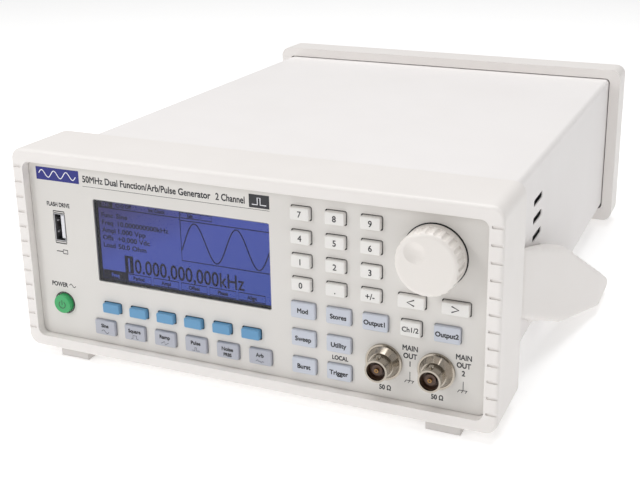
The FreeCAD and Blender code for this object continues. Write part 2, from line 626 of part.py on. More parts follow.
def make_main_board():
    """Synthesiser board: processor with a finned heat sink, memory, converters, relays."""
    sink_y = "main_front + main_length / 2"
    solids = [block("main_width", "main_length", "board_thickness", "0",
                    "main_front", BOARD_LEVEL),
              block("sink_side", "sink_side", "sink_base", "-sink_left", sink_y, PARTS_LEVEL)]
    solids += [block("fin_thickness", "sink_side", "fin_height", f"-sink_left + {fin} * fin_pitch",
                     sink_y, f"{PARTS_LEVEL} + sink_base") for fin in range(-3, 4)]
    solids += [block("chip_length", "chip_width", "chip_height", "chip_right",
                     f"main_front + {i} * chip_pitch", PARTS_LEVEL) for i in range(1, 5)]
    solids += [block("relay_width", "relay_length", "relay_height", f"relay_right + {i} * relay_pitch",
                     "main_front + relay_width", PARTS_LEVEL) for i in range(2)]
    solids += [rod("capacitor_radius", "capacitor_height", "Z",
                   f"relay_right + {i} * 3 * capacitor_radius",
                   "main_front + main_length - relay_length", PARTS_LEVEL) for i in range(3)]
    settle(fused(solids), "main_board")


def make_power_supply():
    """Mains supply board: transformer, reservoir capacitors and a finned regulator."""
    solids = [block("supply_width", "supply_length", "board_thickness", SUPPLY_X, SUPPLY_FRONT,
                    BOARD_LEVEL),
              block("transformer_width", "transformer_length", "supply_parts",
                    f"{SUPPLY_X} - supply_width / 4", f"{SUPPLY_FRONT} + transformer_length / 2",
                    PARTS_LEVEL),
              block("plate_thickness", "plate_length", "supply_parts",
                    f"{SUPPLY_X} + supply_width / 2 - 3 * plate_thickness",
                    f"{SUPPLY_FRONT} + (supply_length - plate_length) / 2", PARTS_LEVEL)]
    solids += [rod("reservoir_radius", "reservoir_height", "Z",
                   f"{SUPPLY_X} + reservoir_radius + {i} * reservoir_pitch",
                   f"{SUPPLY_FRONT} + supply_length - 3 * reservoir_radius", PARTS_LEVEL)
               for i in range(2)]
    settle(fused(solids), "power_supply")


# ---------------------------------------------------------------- rear
INLET_X = f"({LEFT} + inlet_left)"
FAN_X = f"({LEFT} + fan_left)"
REAR_JACK_XS = [f"(rear_pitch * {i} - rear_pitch / 2)" for i in range(1, 5)]
REAR_JACK_ROW = "(rear_row + jack_rise)"
LAN_X = "(rear_pitch)"
USB_B_X = "(3 * rear_pitch)"


def make_rear_bezel():
    """A moulded frame round the back, with a lip that the rear panel seats against."""
    body = new_body("rear_bezel")
    front = "case_depth - rear_bezel_depth"
    middle = f"shell_bottom + {SHELL_HEIGHT} / 2"
    pad(body, ("bezel_width", "bezel_height", "bezel_corner"), "rear_bezel_depth", y=front,
        z="bezel_height / 2")
    round_edges(body, "bezel_edge",
                lambda box: box.YMin > number("case_depth - bezel_edge / 2"))
    pocket(body, (f"{SHELL_WIDTH} + 2 * seam_gap", f"{SHELL_HEIGHT} + 2 * seam_gap",
                  "shell_corner"), "rear_bezel_depth - rear_step", y=front, z=middle)
    pocket(body, (f"{SHELL_WIDTH} - 2 * rear_lip", f"{SHELL_HEIGHT} - 2 * rear_lip",
                  "bezel_corner"), "rear_step", y=REAR_FACE, z=middle)
    settle(body, "rear_bezel")


def make_rear_panel():
    body = new_body("back_plate")
    pad(body, (SHELL_WIDTH, SHELL_HEIGHT, "shell_corner"), "rear_plate",
        z=f"shell_bottom + {SHELL_HEIGHT} / 2")
    pocket(body, ("inlet_width", "inlet_height", "panel_gap / 4"), "rear_plate", x=INLET_X,
           z="rear_row")
    slot = pocket(body, ("fan_side - 4 * fan_wall", "vent_height", "vent_corner"), "rear_plate",
                  x=FAN_X, z="fan_row - 2 * (vent_height + 2 * fan_wall)")
    repeat(body, slot, "V_Axis", "vent_count", "vent_height + 2 * fan_wall")
    for x in REAR_JACK_XS:
        pocket(body, ("thread_radius + panel_gap",), "rear_plate", x=x, z=REAR_JACK_ROW)
    for x in (LAN_X, USB_B_X):
        pocket(body, ("lan_side + panel_gap", "lan_side + panel_gap", "panel_gap / 4"),
               "rear_plate", x=x, z="rear_row")
    holes = [rod("screw_radius + shaft_fit", "3 * rear_plate", "Y", x, "-rear_plate", z)
             for x, z in REAR_SCREWS]
    settle(carved(body, holes), "rear_panel", y=REAR_INSIDE)


def rear_jack(x):
    """The rear jacks point away from the panel, so each is turned about the panel's face."""
    shell = fused([
        rod("barrel_radius", "rear_socket_reach + rear_plate", "Y", x, REAR_INSIDE,
            REAR_JACK_ROW),
        rod("thread_radius", "socket_back + rear_plate", "Y", x,
            f"{REAR_FACE} + thread_reach - socket_back - rear_plate", REAR_JACK_ROW),
        rod("lug_radius", "2 * (barrel_radius + lug_rise)", "Z", x,
            f"{REAR_FACE} + rear_socket_reach - lug_setback",
            f"{REAR_JACK_ROW} - barrel_radius - lug_rise"),
    ])
    depth = "(rear_socket_reach - thread_reach)"
    bore = rod("barrel_radius - barrel_wall", depth, "Y", x, f"{REAR_FACE} + thread_reach", REAR_JACK_ROW)
    core = rod("insulator_radius", f"{depth} - insulator_setback + panel_gap", "Y", x,
               f"{REAR_FACE} + thread_reach - panel_gap", REAR_JACK_ROW)
    return fused([carved(shell, [bore]), core])


def make_rear_sockets():
    """Mains inlet, four coaxial jacks, a network jack and a square data jack."""
    inside = "(panel_gap / 2)"
    inlet = carved(
        block(f"inlet_width - 2 * {inside}", "rear_step + rear_plate", f"inlet_height - 2 * {inside}",
              INLET_X, f"{REAR_FACE} - rear_step", f"rear_row - inlet_height / 2 + {inside}"),
        [block("inlet_width - 2 * inlet_wall", "rear_step - 2 * inlet_wall",
               "inlet_height - 2 * inlet_wall", INLET_X,
               f"{REAR_FACE} - rear_step + rear_plate + 2 * inlet_wall",
               "rear_row - inlet_height / 2 + inlet_wall")])
    blades = [block("blade_width", "rear_step - 2 * inlet_wall", "blade_height",
                    f"{INLET_X} + {place} * blade_pitch",
                    f"{REAR_FACE} - rear_step + rear_plate + inlet_wall",
                    f"rear_row - blade_height / 2 + {rise}")
              for place, rise in ((-1, "0"), (0, "earth_rise"), (1, "0"))]
    solids = [fused([inlet] + blades)]
    solids += [rear_jack(x) for x in REAR_JACK_XS]
    for x, wall in ((LAN_X, "lan_wall"), (USB_B_X, "data_wall")):
        hollow = f"(lan_side - 2 * {wall})"
        shell = block("lan_side", "lan_side + rear_plate", "lan_side", x,
                      f"{REAR_FACE} - lan_side", "rear_row - lan_side / 2")
        cavity = block(hollow, hollow, hollow, x, f"{REAR_FACE} + rear_plate - {hollow}",
                       f"rear_row - {hollow} / 2")
        solids.append(carved(shell, [cavity]))
    settle(grouped(solids), "rear_sockets")


# ---------------------------------------------------------------- cooling fan
FAN_FRONT = f"({REAR_INSIDE} - fan_thickness)"


def make_fan():
    bore = "(fan_side / 2 - fan_wall)"
    frame = carved(block("fan_side", "fan_thickness", "fan_side", FAN_X, FAN_FRONT,
                         "fan_row - fan_side / 2"),
                   [rod(bore, "fan_thickness", "Y", FAN_X, FAN_FRONT, "fan_row")])
    strut = block("fan_side - fan_wall", "fan_wall", "2 * fan_wall", FAN_X, FAN_FRONT,
                  "fan_row - fan_wall")
    pin = rod("fan_pin", "fan_thickness - fan_wall", "Y", FAN_X, FAN_FRONT, "fan_row")
    settle(fused([frame, strut, pin]), "fan_housing")

    rotor = new_body("fan_rotor")
    span = f"({bore} - fan_tip_gap - fan_hub / 2)"
    depth = "fan_thickness - 4 * fan_wall"
    pad(rotor, ("fan_hub",), depth)
    blade = pad(rotor, (span, "blade_thickness", "blade_thickness / 3"), depth,
                x=f"fan_hub / 2 + {span} / 2")
    ring = rotor.newObject("PartDesign::PolarPattern", "blades")
    ring.Originals = [blade]
    ring.Axis = (plane_of(rotor, "Y_Axis"), [""])
    link(ring, "Occurrences", "fan_blades")
    rotor.Tip = ring
    pocket(rotor, ("fan_pin + fan_pin_fit",), "fan_thickness")
    settle(rotor, "fan_rotor", FAN_X, f"{FAN_FRONT} + 2 * fan_wall", "fan_row")


# ---------------------------------------------------------------- tilt handle
def make_handle():
    """A bail: two hubs beside the case, arms that flare outwards, and a bar under the case."""
    near = f"({SHELL_SIDE} + handle_gap)"
    outer = f"({SHELL_SIDE} + handle_reach)"
    nose = (near, f"{SHELL_SIDE} + nose_wall", "nose_bottom", "nose_top")
    ridge = (near, f"{SHELL_SIDE} + ridge_reach", "ridge_bottom", "ridge_top")
    corner = (f"{outer} - arm_wall", outer, "-bar_drop", "corner_top")
    tip = (f"{outer} - tip_wall", outer, "-bar_drop", "tip_height - bar_drop")
    bar_end = "(corner_back + bar_length)"
    arm = fused([
        rod("hub_radius", "hub_reach - handle_gap", "X", near, "pivot_back", "pivot_row"),
        wedge(nose, ridge, "arm_front", "ridge_back"),
        wedge(ridge, corner, "ridge_back", "corner_back"),
        wedge(corner, tip, "corner_back", bar_end),
    ])
    mirror = doc.addObject("Part::Mirroring", "other_arm")
    mirror.Source = arm
    mirror.Normal = (1, 0, 0)
    bar = block(f"2 * ({outer} - tip_wall / 2)", "bar_length", "bar_thickness", "0",
                "corner_back", "-bar_drop")
    depth = "(pivot_reach + pivot_fit)"
    bores = [rod("pivot_radius + pivot_fit", depth, "X", x, "pivot_back", "pivot_row")
             for x in (SHELL_SIDE, f"-{SHELL_SIDE} - {depth}")]
    settle(carved(fused([arm, mirror, bar]), bores), "tilt_handle")


def make_pivots():
    """The bosses on the case's sides that the handle turns on."""
    bosses = [rod("pivot_radius", "pivot_reach", "X", x, "pivot_back", "pivot_row")
              for x in (SHELL_SIDE, f"-{SHELL_SIDE} - pivot_reach")]
    settle(grouped(bosses), "handle_pivots")


# ---------------------------------------------------------------- feet and screws
def make_feet():
    feet = []
    for side in (-1, 1):
        for y in ("foot_setback", "case_depth - foot_setback - foot_length"):
            feet.append(block("foot_width", "foot_length", "foot_height",
                              f"{side} * (bezel_width / 2 - foot_inset)", y, "-foot_height"))
    settle(grouped(feet), "feet")


def make_screws():
    screws = []
    for x, y in TRAY_SCREWS:
        head = rod("screw_head", "head_thickness", "Z", x, y, "shell_bottom - head_thickness")
        shank = rod("screw_radius", "screw_length", "Z", x, y, "shell_bottom")
        screws.append(fused([head, shank]))
    for x, z in REAR_SCREWS:
        head = rod("screw_head", "head_thickness", "Y", x, REAR_FACE, z)
        shank = rod("screw_radius", "screw_length", "Y", x, f"{REAR_FACE} - screw_length", z)
        screws.append(fused([head, shank]))
    settle(grouped(screws), "case_screws")


# ---------------------------------------------------------------- build, check and write
for key_place in key_places():
    make_key(*key_place)
make_power_button()
make_knob()
make_shaft()
make_front_bezel()
make_front_panel()
make_display()
make_output_sockets()
make_usb_socket()
make_keypad_board()
make_top_cover()
make_base_tray()
make_main_board()
make_power_supply()
make_rear_bezel()
make_rear_panel()
make_rear_sockets()
make_fan()
make_handle()
make_pivots()
make_feet()
make_screws()
doc.recompute()

faults = [f"{item.Label}: {item.State}" for item in doc.Objects
          if {"Invalid", "Error"} & set(item.State)]
faults += [f"{piece.Label}: no sound shape" for piece in nodes
           if piece.Shape.isNull() or not piece.Shape.isValid()]
if faults:
    raise SystemExit("\n".join(faults))

os.makedirs("parts", exist_ok=True)
for piece in nodes:
    piece.Shape.exportStep(f"parts/{piece.Label}.step")
print(f"{len(nodes)} sub-parts written")
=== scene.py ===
"""Bench function generator: finishes, printing and fine pieces round its packed design."""
import math

import bmesh
import bpy
from mathutils import Matrix, Vector


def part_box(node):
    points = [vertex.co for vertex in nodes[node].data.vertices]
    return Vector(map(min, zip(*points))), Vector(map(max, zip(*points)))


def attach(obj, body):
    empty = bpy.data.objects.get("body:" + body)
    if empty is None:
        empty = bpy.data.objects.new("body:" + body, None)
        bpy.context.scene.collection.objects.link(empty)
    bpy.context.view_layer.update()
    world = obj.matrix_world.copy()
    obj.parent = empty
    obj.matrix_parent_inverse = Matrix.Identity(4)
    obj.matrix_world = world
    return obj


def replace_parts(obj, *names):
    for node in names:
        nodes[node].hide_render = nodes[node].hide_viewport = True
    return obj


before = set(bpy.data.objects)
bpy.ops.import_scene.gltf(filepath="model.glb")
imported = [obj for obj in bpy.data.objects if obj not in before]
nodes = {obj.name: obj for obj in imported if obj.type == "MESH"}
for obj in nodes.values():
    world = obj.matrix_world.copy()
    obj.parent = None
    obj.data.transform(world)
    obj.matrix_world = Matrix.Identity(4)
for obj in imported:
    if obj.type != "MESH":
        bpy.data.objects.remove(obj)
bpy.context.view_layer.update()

# ---------------------------------------------------------------- sheet-metal case
# Cover, bottom tray and rear panel are folded from 1.2 to 1.6 mm steel and powder coated in a
# warm white.  The coat has a very fine orange-peel skin.  Screws hold the tray to the cover.
MM = 0.001


def swatch(red, green, blue):
    """A colour card's 0 to 255 values as the linear colour that a shader takes."""
    def linear(value):
        value /= 255
        return value / 12.92 if value <= 0.04045 else ((value + 0.055) / 1.055) ** 2.4
    return (linear(red), linear(green), linear(blue), 1.0)


def add_node(tree, kind, inputs=None, **settings):
    """A node with its settings, and its inputs linked where a socket is given or else set."""
    made = tree.nodes.new(kind)
    for name, value in settings.items():
        setattr(made, name, value)
    for name, value in (inputs or {}).items():
        if isinstance(value, bpy.types.NodeSocket):
            tree.links.new(value, made.inputs[name])
        else:
            made.inputs[name].default_value = value
    return made


def effect(name, inputs, outputs):
    """A shader node group with these sockets: (its tree, its input node, its output node)."""
    tree = bpy.data.node_groups.new(name, "ShaderNodeTree")
    for socket, kind in inputs.items():
        tree.interface.new_socket(socket, in_out="INPUT", socket_type="NodeSocket" + kind)
    for socket, kind in outputs.items():
        tree.interface.new_socket(socket, in_out="OUTPUT", socket_type="NodeSocket" + kind)
    return tree, tree.nodes.new("NodeGroupInput"), tree.nodes.new("NodeGroupOutput")


def fine_skin():
    """Fine surface grain, slow drift of the colour towards a stain, and patchy gloss."""
    tree, given, result = effect(
        "fine_skin",
        {"Colour": "Color", "Stain": "Color", "Drift": "Float", "Roughness": "Float", "Grain": "Float"},
        {"Colour": "Color", "Roughness": "Float", "Height": "Float"})
    place = add_node(tree, "ShaderNodeTexCoord").outputs["Object"]
    grain = add_node(tree, "ShaderNodeTexNoise",
                     {"Vector": place, "Scale": given.outputs["Grain"], "Detail": 3.0})
    cloud = add_node(tree, "ShaderNodeTexNoise", {"Vector": place, "Scale": 17.0, "Detail": 4.0})
    patch = add_node(tree, "ShaderNodeMapRange",
                     {"Value": cloud.outputs["Fac"], "From Min": 0.35, "From Max": 0.75})
    amount = add_node(tree, "ShaderNodeMath", {0: patch.outputs[0], 1: given.outputs["Drift"]},
                      operation="MULTIPLY")
    colour = add_node(tree, "ShaderNodeMix", {0: amount.outputs[0], 6: given.outputs["Colour"],
                                              7: given.outputs["Stain"]}, data_type="RGBA")
    handled = add_node(tree, "ShaderNodeTexNoise", {"Vector": place, "Scale": 90.0, "Detail": 2.0})
    swing = add_node(tree, "ShaderNodeMapRange",
                     {"Value": handled.outputs["Fac"], "To Min": -0.07, "To Max": 0.07})
    rough = add_node(tree, "ShaderNodeMath", {0: given.outputs["Roughness"], 1: swing.outputs[0]})
    tree.links.new(colour.outputs[2], result.inputs["Colour"])
    tree.links.new(rough.outputs[0], result.inputs["Roughness"])
    tree.links.new(grain.outputs["Fac"], result.inputs["Height"])
    return tree


def soft_edges():
    """Eased edges on pressed or moulded walls, and a mask of where hands rub them paler."""
    tree, given, result = effect("soft_edges", {"Radius": "Float"}, {"Normal": "Vector", "Rub": "Float"})
    eased = add_node(tree, "ShaderNodeBevel", {"Radius": given.outputs["Radius"]}, samples=4)
    plain = add_node(tree, "ShaderNodeNewGeometry")
    turn = add_node(tree, "ShaderNodeVectorMath",
                    {0: eased.outputs["Normal"], 1: plain.outputs["Normal"]}, operation="DOT_PRODUCT")
    rub = add_node(tree, "ShaderNodeMapRange", {"Value": turn.outputs["Value"], "From Min": 0.995,
                                                "From Max": 0.85})
    tree.links.new(eased.outputs["Normal"], result.inputs["Normal"])
    tree.links.new(rub.outputs[0], result.inputs["Rub"])
    return tree


FINE_SKIN = fine_skin()
SOFT_EDGES = soft_edges()


def fresh_material(name):
    material = bpy.data.materials.new(name)
    material.use_nodes = True
    return material, material.node_tree, material.node_tree.nodes["Principled BSDF"]


def finish(name, colour, stain, rough=0.45, grain=2400.0, depth=0.012, drift=0.35, edge=0.0, **fixed):
    """A finish: colour and gloss from fine_skin, grain depth in mm, edges eased by edge mm."""
    material, tree, shader = fresh_material(name)
    skin = add_node(tree, "ShaderNodeGroup", node_tree=FINE_SKIN)
    for socket, value in (("Colour", colour), ("Stain", stain), ("Drift", drift),
                          ("Roughness", rough), ("Grain", grain)):
        skin.inputs[socket].default_value = value
    bump = add_node(tree, "ShaderNodeBump", {"Height": skin.outputs["Height"], "Distance": depth * MM})
    base = skin.outputs["Colour"]
    if edge:
        eased = add_node(tree, "ShaderNodeGroup", node_tree=SOFT_EDGES)
        eased.inputs["Radius"].default_value = edge * MM
        tree.links.new(eased.outputs["Normal"], bump.inputs["Normal"])
        rubbed = add_node(tree, "ShaderNodeMix", {0: eased.outputs["Rub"], 6: base,
                                                  7: tuple(min(1.0, c * 1.12) for c in colour)},
                          data_type="RGBA")
        base = rubbed.outputs[2]
    tree.links.new(base, shader.inputs["Base Color"])
    tree.links.new(skin.outputs["Roughness"], shader.inputs["Roughness"])
    tree.links.new(bump.outputs["Normal"], shader.inputs["Normal"])
    for socket, value in fixed.items():
        shader.inputs[socket].default_value = value
    return material


def dress(material, *names):
    """Give carried-over pieces their finish."""
    for name in names:
        nodes[name].data.materials[0] = material


def bare_inside(material, low, high):
    """Paint shade inside a box: faces there turn dark grey, so the inside of the case looks dark through its
    slots.
    """
    tree = material.node_tree
    base = tree.nodes["Principled BSDF"].inputs["Base Color"]
    coated = base.links[0].from_socket
    place = add_node(tree, "ShaderNodeTexCoord").outputs["Object"]
    middle = (low + high) / 2
    offset = add_node(tree, "ShaderNodeVectorMath", {0: place, 1: middle}, operation="SUBTRACT")
    away = add_node(tree, "ShaderNodeVectorMath", {0: offset.outputs[0]}, operation="ABSOLUTE")
    depth = add_node(tree, "ShaderNodeVectorMath", {0: (high - low) / 2, 1: away.outputs[0]},
                     operation="SUBTRACT")
    parts = add_node(tree, "ShaderNodeSeparateXYZ", {0: depth.outputs[0]}).outputs
    least = add_node(tree, "ShaderNodeMath", {0: parts["X"], 1: parts["Z"]}, operation="MINIMUM")
    inside = add_node(tree, "ShaderNodeMath", {0: least.outputs[0], 1: 0.0}, operation="GREATER_THAN")
    # Painted shade: the faces inside the box are coloured dark grey, as the shade inside the case.
    mixed = add_node(tree, "ShaderNodeMix", {0: inside.outputs[0], 6: coated, 7: swatch(52, 52, 54)},
                     data_type="RGBA")
    tree.links.new(mixed.outputs[2], base)


POWDER_COAT = finish("powder_coat", swatch(238, 235, 234), swatch(232, 228, 226), rough=0.5,
                     grain=1500.0, depth=0.02, edge=0.6)
dress(POWDER_COAT, "base_tray", "rear_panel")
COVER_COAT = finish("cover_coat", swatch(238, 235, 234), swatch(232, 228, 226), rough=0.5,
                    grain=1500.0, depth=0.02, edge=0.6)
# The cover's inner faces get painted shade in dark grey, so its vent slots look dark.
cover_low, cover_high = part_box("top_cover")
bare_inside(COVER_COAT, cover_low + Vector((0.5, 0, 0)) * MM, cover_high - Vector((0.5, 0, 4)) * MM)
dress(COVER_COAT, "top_cover")

# ---------------------------------------------------------------- boards and supply
# Glass-epoxy boards stand on posts in the tray.  Their green resist is glossy over the copper
# and matt between the tracks.


def solder_resist():
    material, tree, shader = fresh_material("solder_resist")
    place = add_node(tree, "ShaderNodeTexCoord").outputs["Object"]
    tracks = add_node(tree, "ShaderNodeTexBrick", {
        "Vector": place, "Scale": 1.0, "Brick Width": 7.0 * MM, "Row Height": 1.3 * MM,
        "Mortar Size": 0.3 * MM, "Color1": swatch(24, 104, 62), "Color2": swatch(20, 92, 56),
        "Mortar": swatch(10, 62, 38)})
    tree.links.new(tracks.outputs["Color"], shader.inputs["Base Color"])
    gloss = add_node(tree, "ShaderNodeMapRange",
                     {"Value": tracks.outputs["Fac"], "To Min": 0.28, "To Max": 0.5})
    tree.links.new(gloss.outputs[0], shader.inputs["Roughness"])
    bump = add_node(tree, "ShaderNodeBump", {"Height": tracks.outputs["Fac"], "Distance": -0.04 * MM})
    tree.links.new(bump.outputs["Normal"], shader.inputs["Normal"])
    return material


dress(solder_resist(), "main_board", "power_supply", "keypad_board")

# ---------------------------------------------------------------- cooling fan
# Frame and rotor are black glass-filled plastic, seen only through the slots behind them.
BLACK_PLASTIC = finish("black_plastic", swatch(26, 26, 28), swatch(44, 44, 46), rough=0.5,
                       grain=1800.0, depth=0.02)
dress(BLACK_PLASTIC, "fan_housing", "fan_rotor")

# ---------------------------------------------------------------- bezels
# Two frames are moulded in a warm-white plastic with a spark-eroded skin and pushed over the
# case's ends.  Rows of shallow grooves on their sides give the fingers a hold.
BEZEL_WHITE = swatch(237, 233, 230)
BEZEL_SHADE = swatch(230, 225, 221)
BEZEL_PLASTIC = finish("bezel_plastic", BEZEL_WHITE, BEZEL_SHADE, rough=0.42, grain=2600.0,
                       depth=0.014, edge=0.35)
dress(BEZEL_PLASTIC, "front_bezel", "rear_bezel")

# ---------------------------------------------------------------- rear sockets
# The coaxial jacks are nickel-plated brass, and the inlet and data jacks are black plastic, in
# one row of parts clamped in the rear panel.  Height tells metal from plastic.


def socket_row():
    material, tree, shader = fresh_material("rear_socket_row")
    plate_low, plate_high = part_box("rear_panel")
    split = plate_low.z + 0.55 * (plate_high.z - plate_low.z)
    place = add_node(tree, "ShaderNodeTexCoord").outputs["Object"]
    height = add_node(tree, "ShaderNodeSeparateXYZ", {0: place}).outputs["Z"]
    metal = add_node(tree, "ShaderNodeMath", {0: height, 1: split}, operation="GREATER_THAN").outputs[0]
    skin = add_node(tree, "ShaderNodeTexNoise", {"Vector": place, "Scale": 1500.0, "Detail": 2.0})
    gloss = add_node(tree, "ShaderNodeMapRange",
                     {"Value": skin.outputs["Fac"], "To Min": 0.2, "To Max": 0.45})
    colour = add_node(tree, "ShaderNodeMix", {0: metal, 6: swatch(26, 26, 28), 7: swatch(205, 198, 186)},
                      data_type="RGBA")
    tree.links.new(colour.outputs[2], shader.inputs["Base Color"])
    tree.links.new(metal, shader.inputs["Metallic"])
    tree.links.new(gloss.outputs[0], shader.inputs["Roughness"])
    return material


dress(socket_row(), "rear_sockets")

# ---------------------------------------------------------------- front panel and its printing
# A moulded plate with a matt overlay, seated in the front bezel.  Names and rules are screen
# printed on it in dark grey ink, which lies a few hundredths of a millimetre proud.
PANEL_PLASTIC = finish("panel_overlay", swatch(220, 217, 213), swatch(214, 210, 205), rough=0.55,
                       grain=3200.0, depth=0.008)
dress(PANEL_PLASTIC, "front_panel")

INK = 0.03 * MM
CAPITAL_SHARE = 0.73      # a capital's height as a share of the letters' size
bezel_low, bezel_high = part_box("front_bezel")
PANEL_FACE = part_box("front_panel")[0].y


def up(height):
    """Height above the bezel's lower edge, in mm, as a height in the model."""
    return bezel_low.z + height * MM


def lettered(mesh, words, height, x, z, y, squeeze=0.86, side="CENTER", weight=0.13, back=False):
    """Add words whose capitals are so many mm high, centred on z, standing on a face at y.

    Weight is how far, in mm, each stroke's edge is spread outwards.
    """
    curve = bpy.data.curves.new("words", "FONT")
    curve.body = words
    curve.align_x = side
    curve.size = height * MM / CAPITAL_SHARE
    curve.extrude = INK / 2
    curve.resolution_u = 3
    holder = bpy.data.objects.new("words", curve)
    bpy.context.collection.objects.link(holder)
    flat = bpy.data.meshes.new_from_object(holder.evaluated_get(bpy.context.evaluated_depsgraph_get()))
    bpy.data.objects.remove(holder)
    strokes = bmesh.new()
    strokes.from_mesh(flat)
    bmesh.ops.remove_doubles(strokes, verts=strokes.verts, dist=INK / 20)
    bmesh.ops.recalc_face_normals(strokes, faces=strokes.faces)
    strokes.normal_update()
    for corner in strokes.verts:
        spread = Vector((corner.normal.x, corner.normal.y, 0))
        if spread.length > 1e-3:
            corner.co += spread.normalized() * weight * MM
    strokes.to_mesh(flat)
    strokes.free()
    outwards = 1 if back else -1
    place = Matrix.Translation((x, y + outwards * INK / 2, z - height * MM / 2))
    turn = Matrix.Rotation(math.pi if back else 0, 4, "Z") @ Matrix.Rotation(math.pi / 2, 4, "X")
    flat.transform(place @ turn @ Matrix.Diagonal((squeeze, 1, 1, 1)))
    mesh.from_mesh(flat)
    bpy.data.meshes.remove(flat)


def ribbon(mesh, points, width, y, closed=False):
    """Add a line of ink through (x, z) points, standing on a face at y that looks forwards."""
    count = len(points)
    rims = []
    for i, (x, z) in enumerate(points):
        before = Vector(points[i - 1]) if i or closed else Vector((x, z))
        after = Vector(points[(i + 1) % count]) if i < count - 1 or closed else Vector((x, z))
        along = (after - before).normalized()
        across = Vector((-along.y, along.x)) * width / 2
        rims.append([mesh.verts.new((x + side * across.x, depth, z + side * across.y))
                     for depth in (y - INK, y + INK) for side in (-1, 1)])
    pairs = list(zip(rims, rims[1:] + rims[:1] if closed else rims[1:]))
    for (a, b, c, d), (e, f, g, h) in pairs:
        for corners in ((a, b, f, e), (c, g, h, d), (a, e, g, c), (b, d, h, f)):
            mesh.faces.new(corners)
    if not closed:
        for a, b, c, d in (rims[0], rims[-1]):
            mesh.faces.new((a, b, d, c))


def plate(mesh, left, right, low, high, y):
    """Add a filled rectangle of ink."""
    middle = (low + high) / 2
    ribbon(mesh, [(left, middle), (right, middle)], high - low, y)


def arc(x, z, radius, start=0.0, stop=360.0, steps=40):
    """Points (x, z) round a centre, anticlockwise from the right, angles in degrees."""
    turns = [math.radians(start + (stop - start) * i / steps) for i in range(steps + 1)]
    return [(x + radius * math.cos(a), z + radius * math.sin(a)) for a in turns]


def ring(mesh, x, z, radius, width, y):
    ribbon(mesh, arc(x, z, radius)[:-1], width, y, closed=True)


def piece_of(mesh, name, material, body="instrument"):
    """The finished piece: seams closed, faces outwards, riding on its body."""
    bmesh.ops.remove_doubles(mesh, verts=mesh.verts, dist=1e-6)
    bmesh.ops.recalc_face_normals(mesh, faces=mesh.faces)
    data = bpy.data.meshes.new(name)
    mesh.to_mesh(data)
    mesh.free()
    data.materials.append(material)
    piece = bpy.data.objects.new(name, data)
    bpy.context.collection.objects.link(piece)
    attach(piece, body)
    return piece


def wave_points(kind, left, low, width, height):
    """One waveform symbol as points from its lower left corner."""
    middle = low + height / 2
    if kind == "sine":
        return [(left + width * i / 24, middle + height / 2 * math.sin(math.tau * i / 24))
                for i in range(25)]
    shapes = {"square": [(0, 0), (0.25, 0), (0.25, 1), (0.75, 1), (0.75, 0), (1, 0)],
              "ramp": [(0, 0.3), (0.45, 1), (0.55, 0), (1, 0.7)],
              "pulse": [(0, 0), (0.38, 0), (0.38, 1), (0.58, 1), (0.58, 0), (1, 0)],
              "arb": [(0, 0.5), (0.2, 0.9), (0.35, 0.4), (0.5, 0.65), (0.65, 0.1), (0.8, 0.6), (1, 0.45)]}
    return [(left + width * x, low + height * z) for x, z in shapes[kind]]


# Dark ink for the printing; the same material colours the painted-shade rings round the power button and the
# knob.
DARK_INK_AND_SHADE = finish("dark_ink_and_shade", swatch(40, 40, 44), swatch(52, 52, 56), rough=0.5, grain=4000.0, depth=0.004)
BLUE_INK = finish("blue_ink", swatch(22, 28, 122), swatch(28, 36, 134), rough=0.4, grain=4000.0, depth=0.004)
PALE_INK = finish("pale_ink", swatch(236, 236, 240), swatch(226, 226, 232), rough=0.5, grain=4000.0,
                  depth=0.004)
printing_and_shade = bmesh.new()
TITLE_LEFT = -78.6 * MM
TITLE_END = 2.4 * MM
lettered(printing_and_shade, "50MHz Dual Function/Arb/Pulse Generator", 3.1, TITLE_LEFT, up(84.2), PANEL_FACE,
         squeeze=0.86, side="LEFT")
lettered(printing_and_shade, "2 Channel", 3.1, TITLE_END, up(84.2), PANEL_FACE, squeeze=0.8, side="RIGHT")
ribbon(printing_and_shade, [(TITLE_LEFT, up(80.7)), (13.6 * MM, up(80.7))], 0.18 * MM, PANEL_FACE)
plate(printing_and_shade, 4.2 * MM, 13.6 * MM, up(81.4), up(87.2), PANEL_FACE)
usb_low, usb_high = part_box("usb_socket")
USB_X = (usb_low.x + usb_high.x) / 2
power_low, power_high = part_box("power_button")
POWER_X, POWER_Z = (power_low.x + power_high.x) / 2, (power_low.z + power_high.z) / 2
lettered(printing_and_shade, "FLASH DRIVE", 2.0, USB_X, up(70.4), PANEL_FACE, squeeze=0.78)
ribbon(printing_and_shade, [(USB_X - 3 * MM, up(47.8)), (USB_X + 0.6 * MM, up(47.8))], 0.45 * MM, PANEL_FACE)
ribbon(printing_and_shade, [(USB_X + 0.6 * MM, up(46.9)), (USB_X + 0.6 * MM, up(48.7)), (USB_X + 3 * MM, up(48.7)),
                  (USB_X + 3 * MM, up(46.9))], 0.45 * MM, PANEL_FACE, closed=True)
for near, far in ((usb_high.z, usb_high.z + 1.1 * MM), (usb_low.z, usb_low.z - 1.1 * MM)):
    ribbon(printing_and_shade, [(usb_low.x - 0.1 * MM, near + (far - near) * 0.25), (usb_low.x - 0.1 * MM, far),
                      (usb_high.x + 0.1 * MM, far), (usb_high.x + 0.1 * MM, near + (far - near) * 0.25)],
           0.5 * MM, PANEL_FACE)
lettered(printing_and_shade, "POWER", 2.2, POWER_X - 2.1 * MM, up(31.4), PANEL_FACE, squeeze=0.84)
ribbon(printing_and_shade, wave_points("sine", POWER_X + 3.3 * MM, up(30.7), 3.4 * MM, 1.5 * MM), 0.34 * MM, PANEL_FACE)
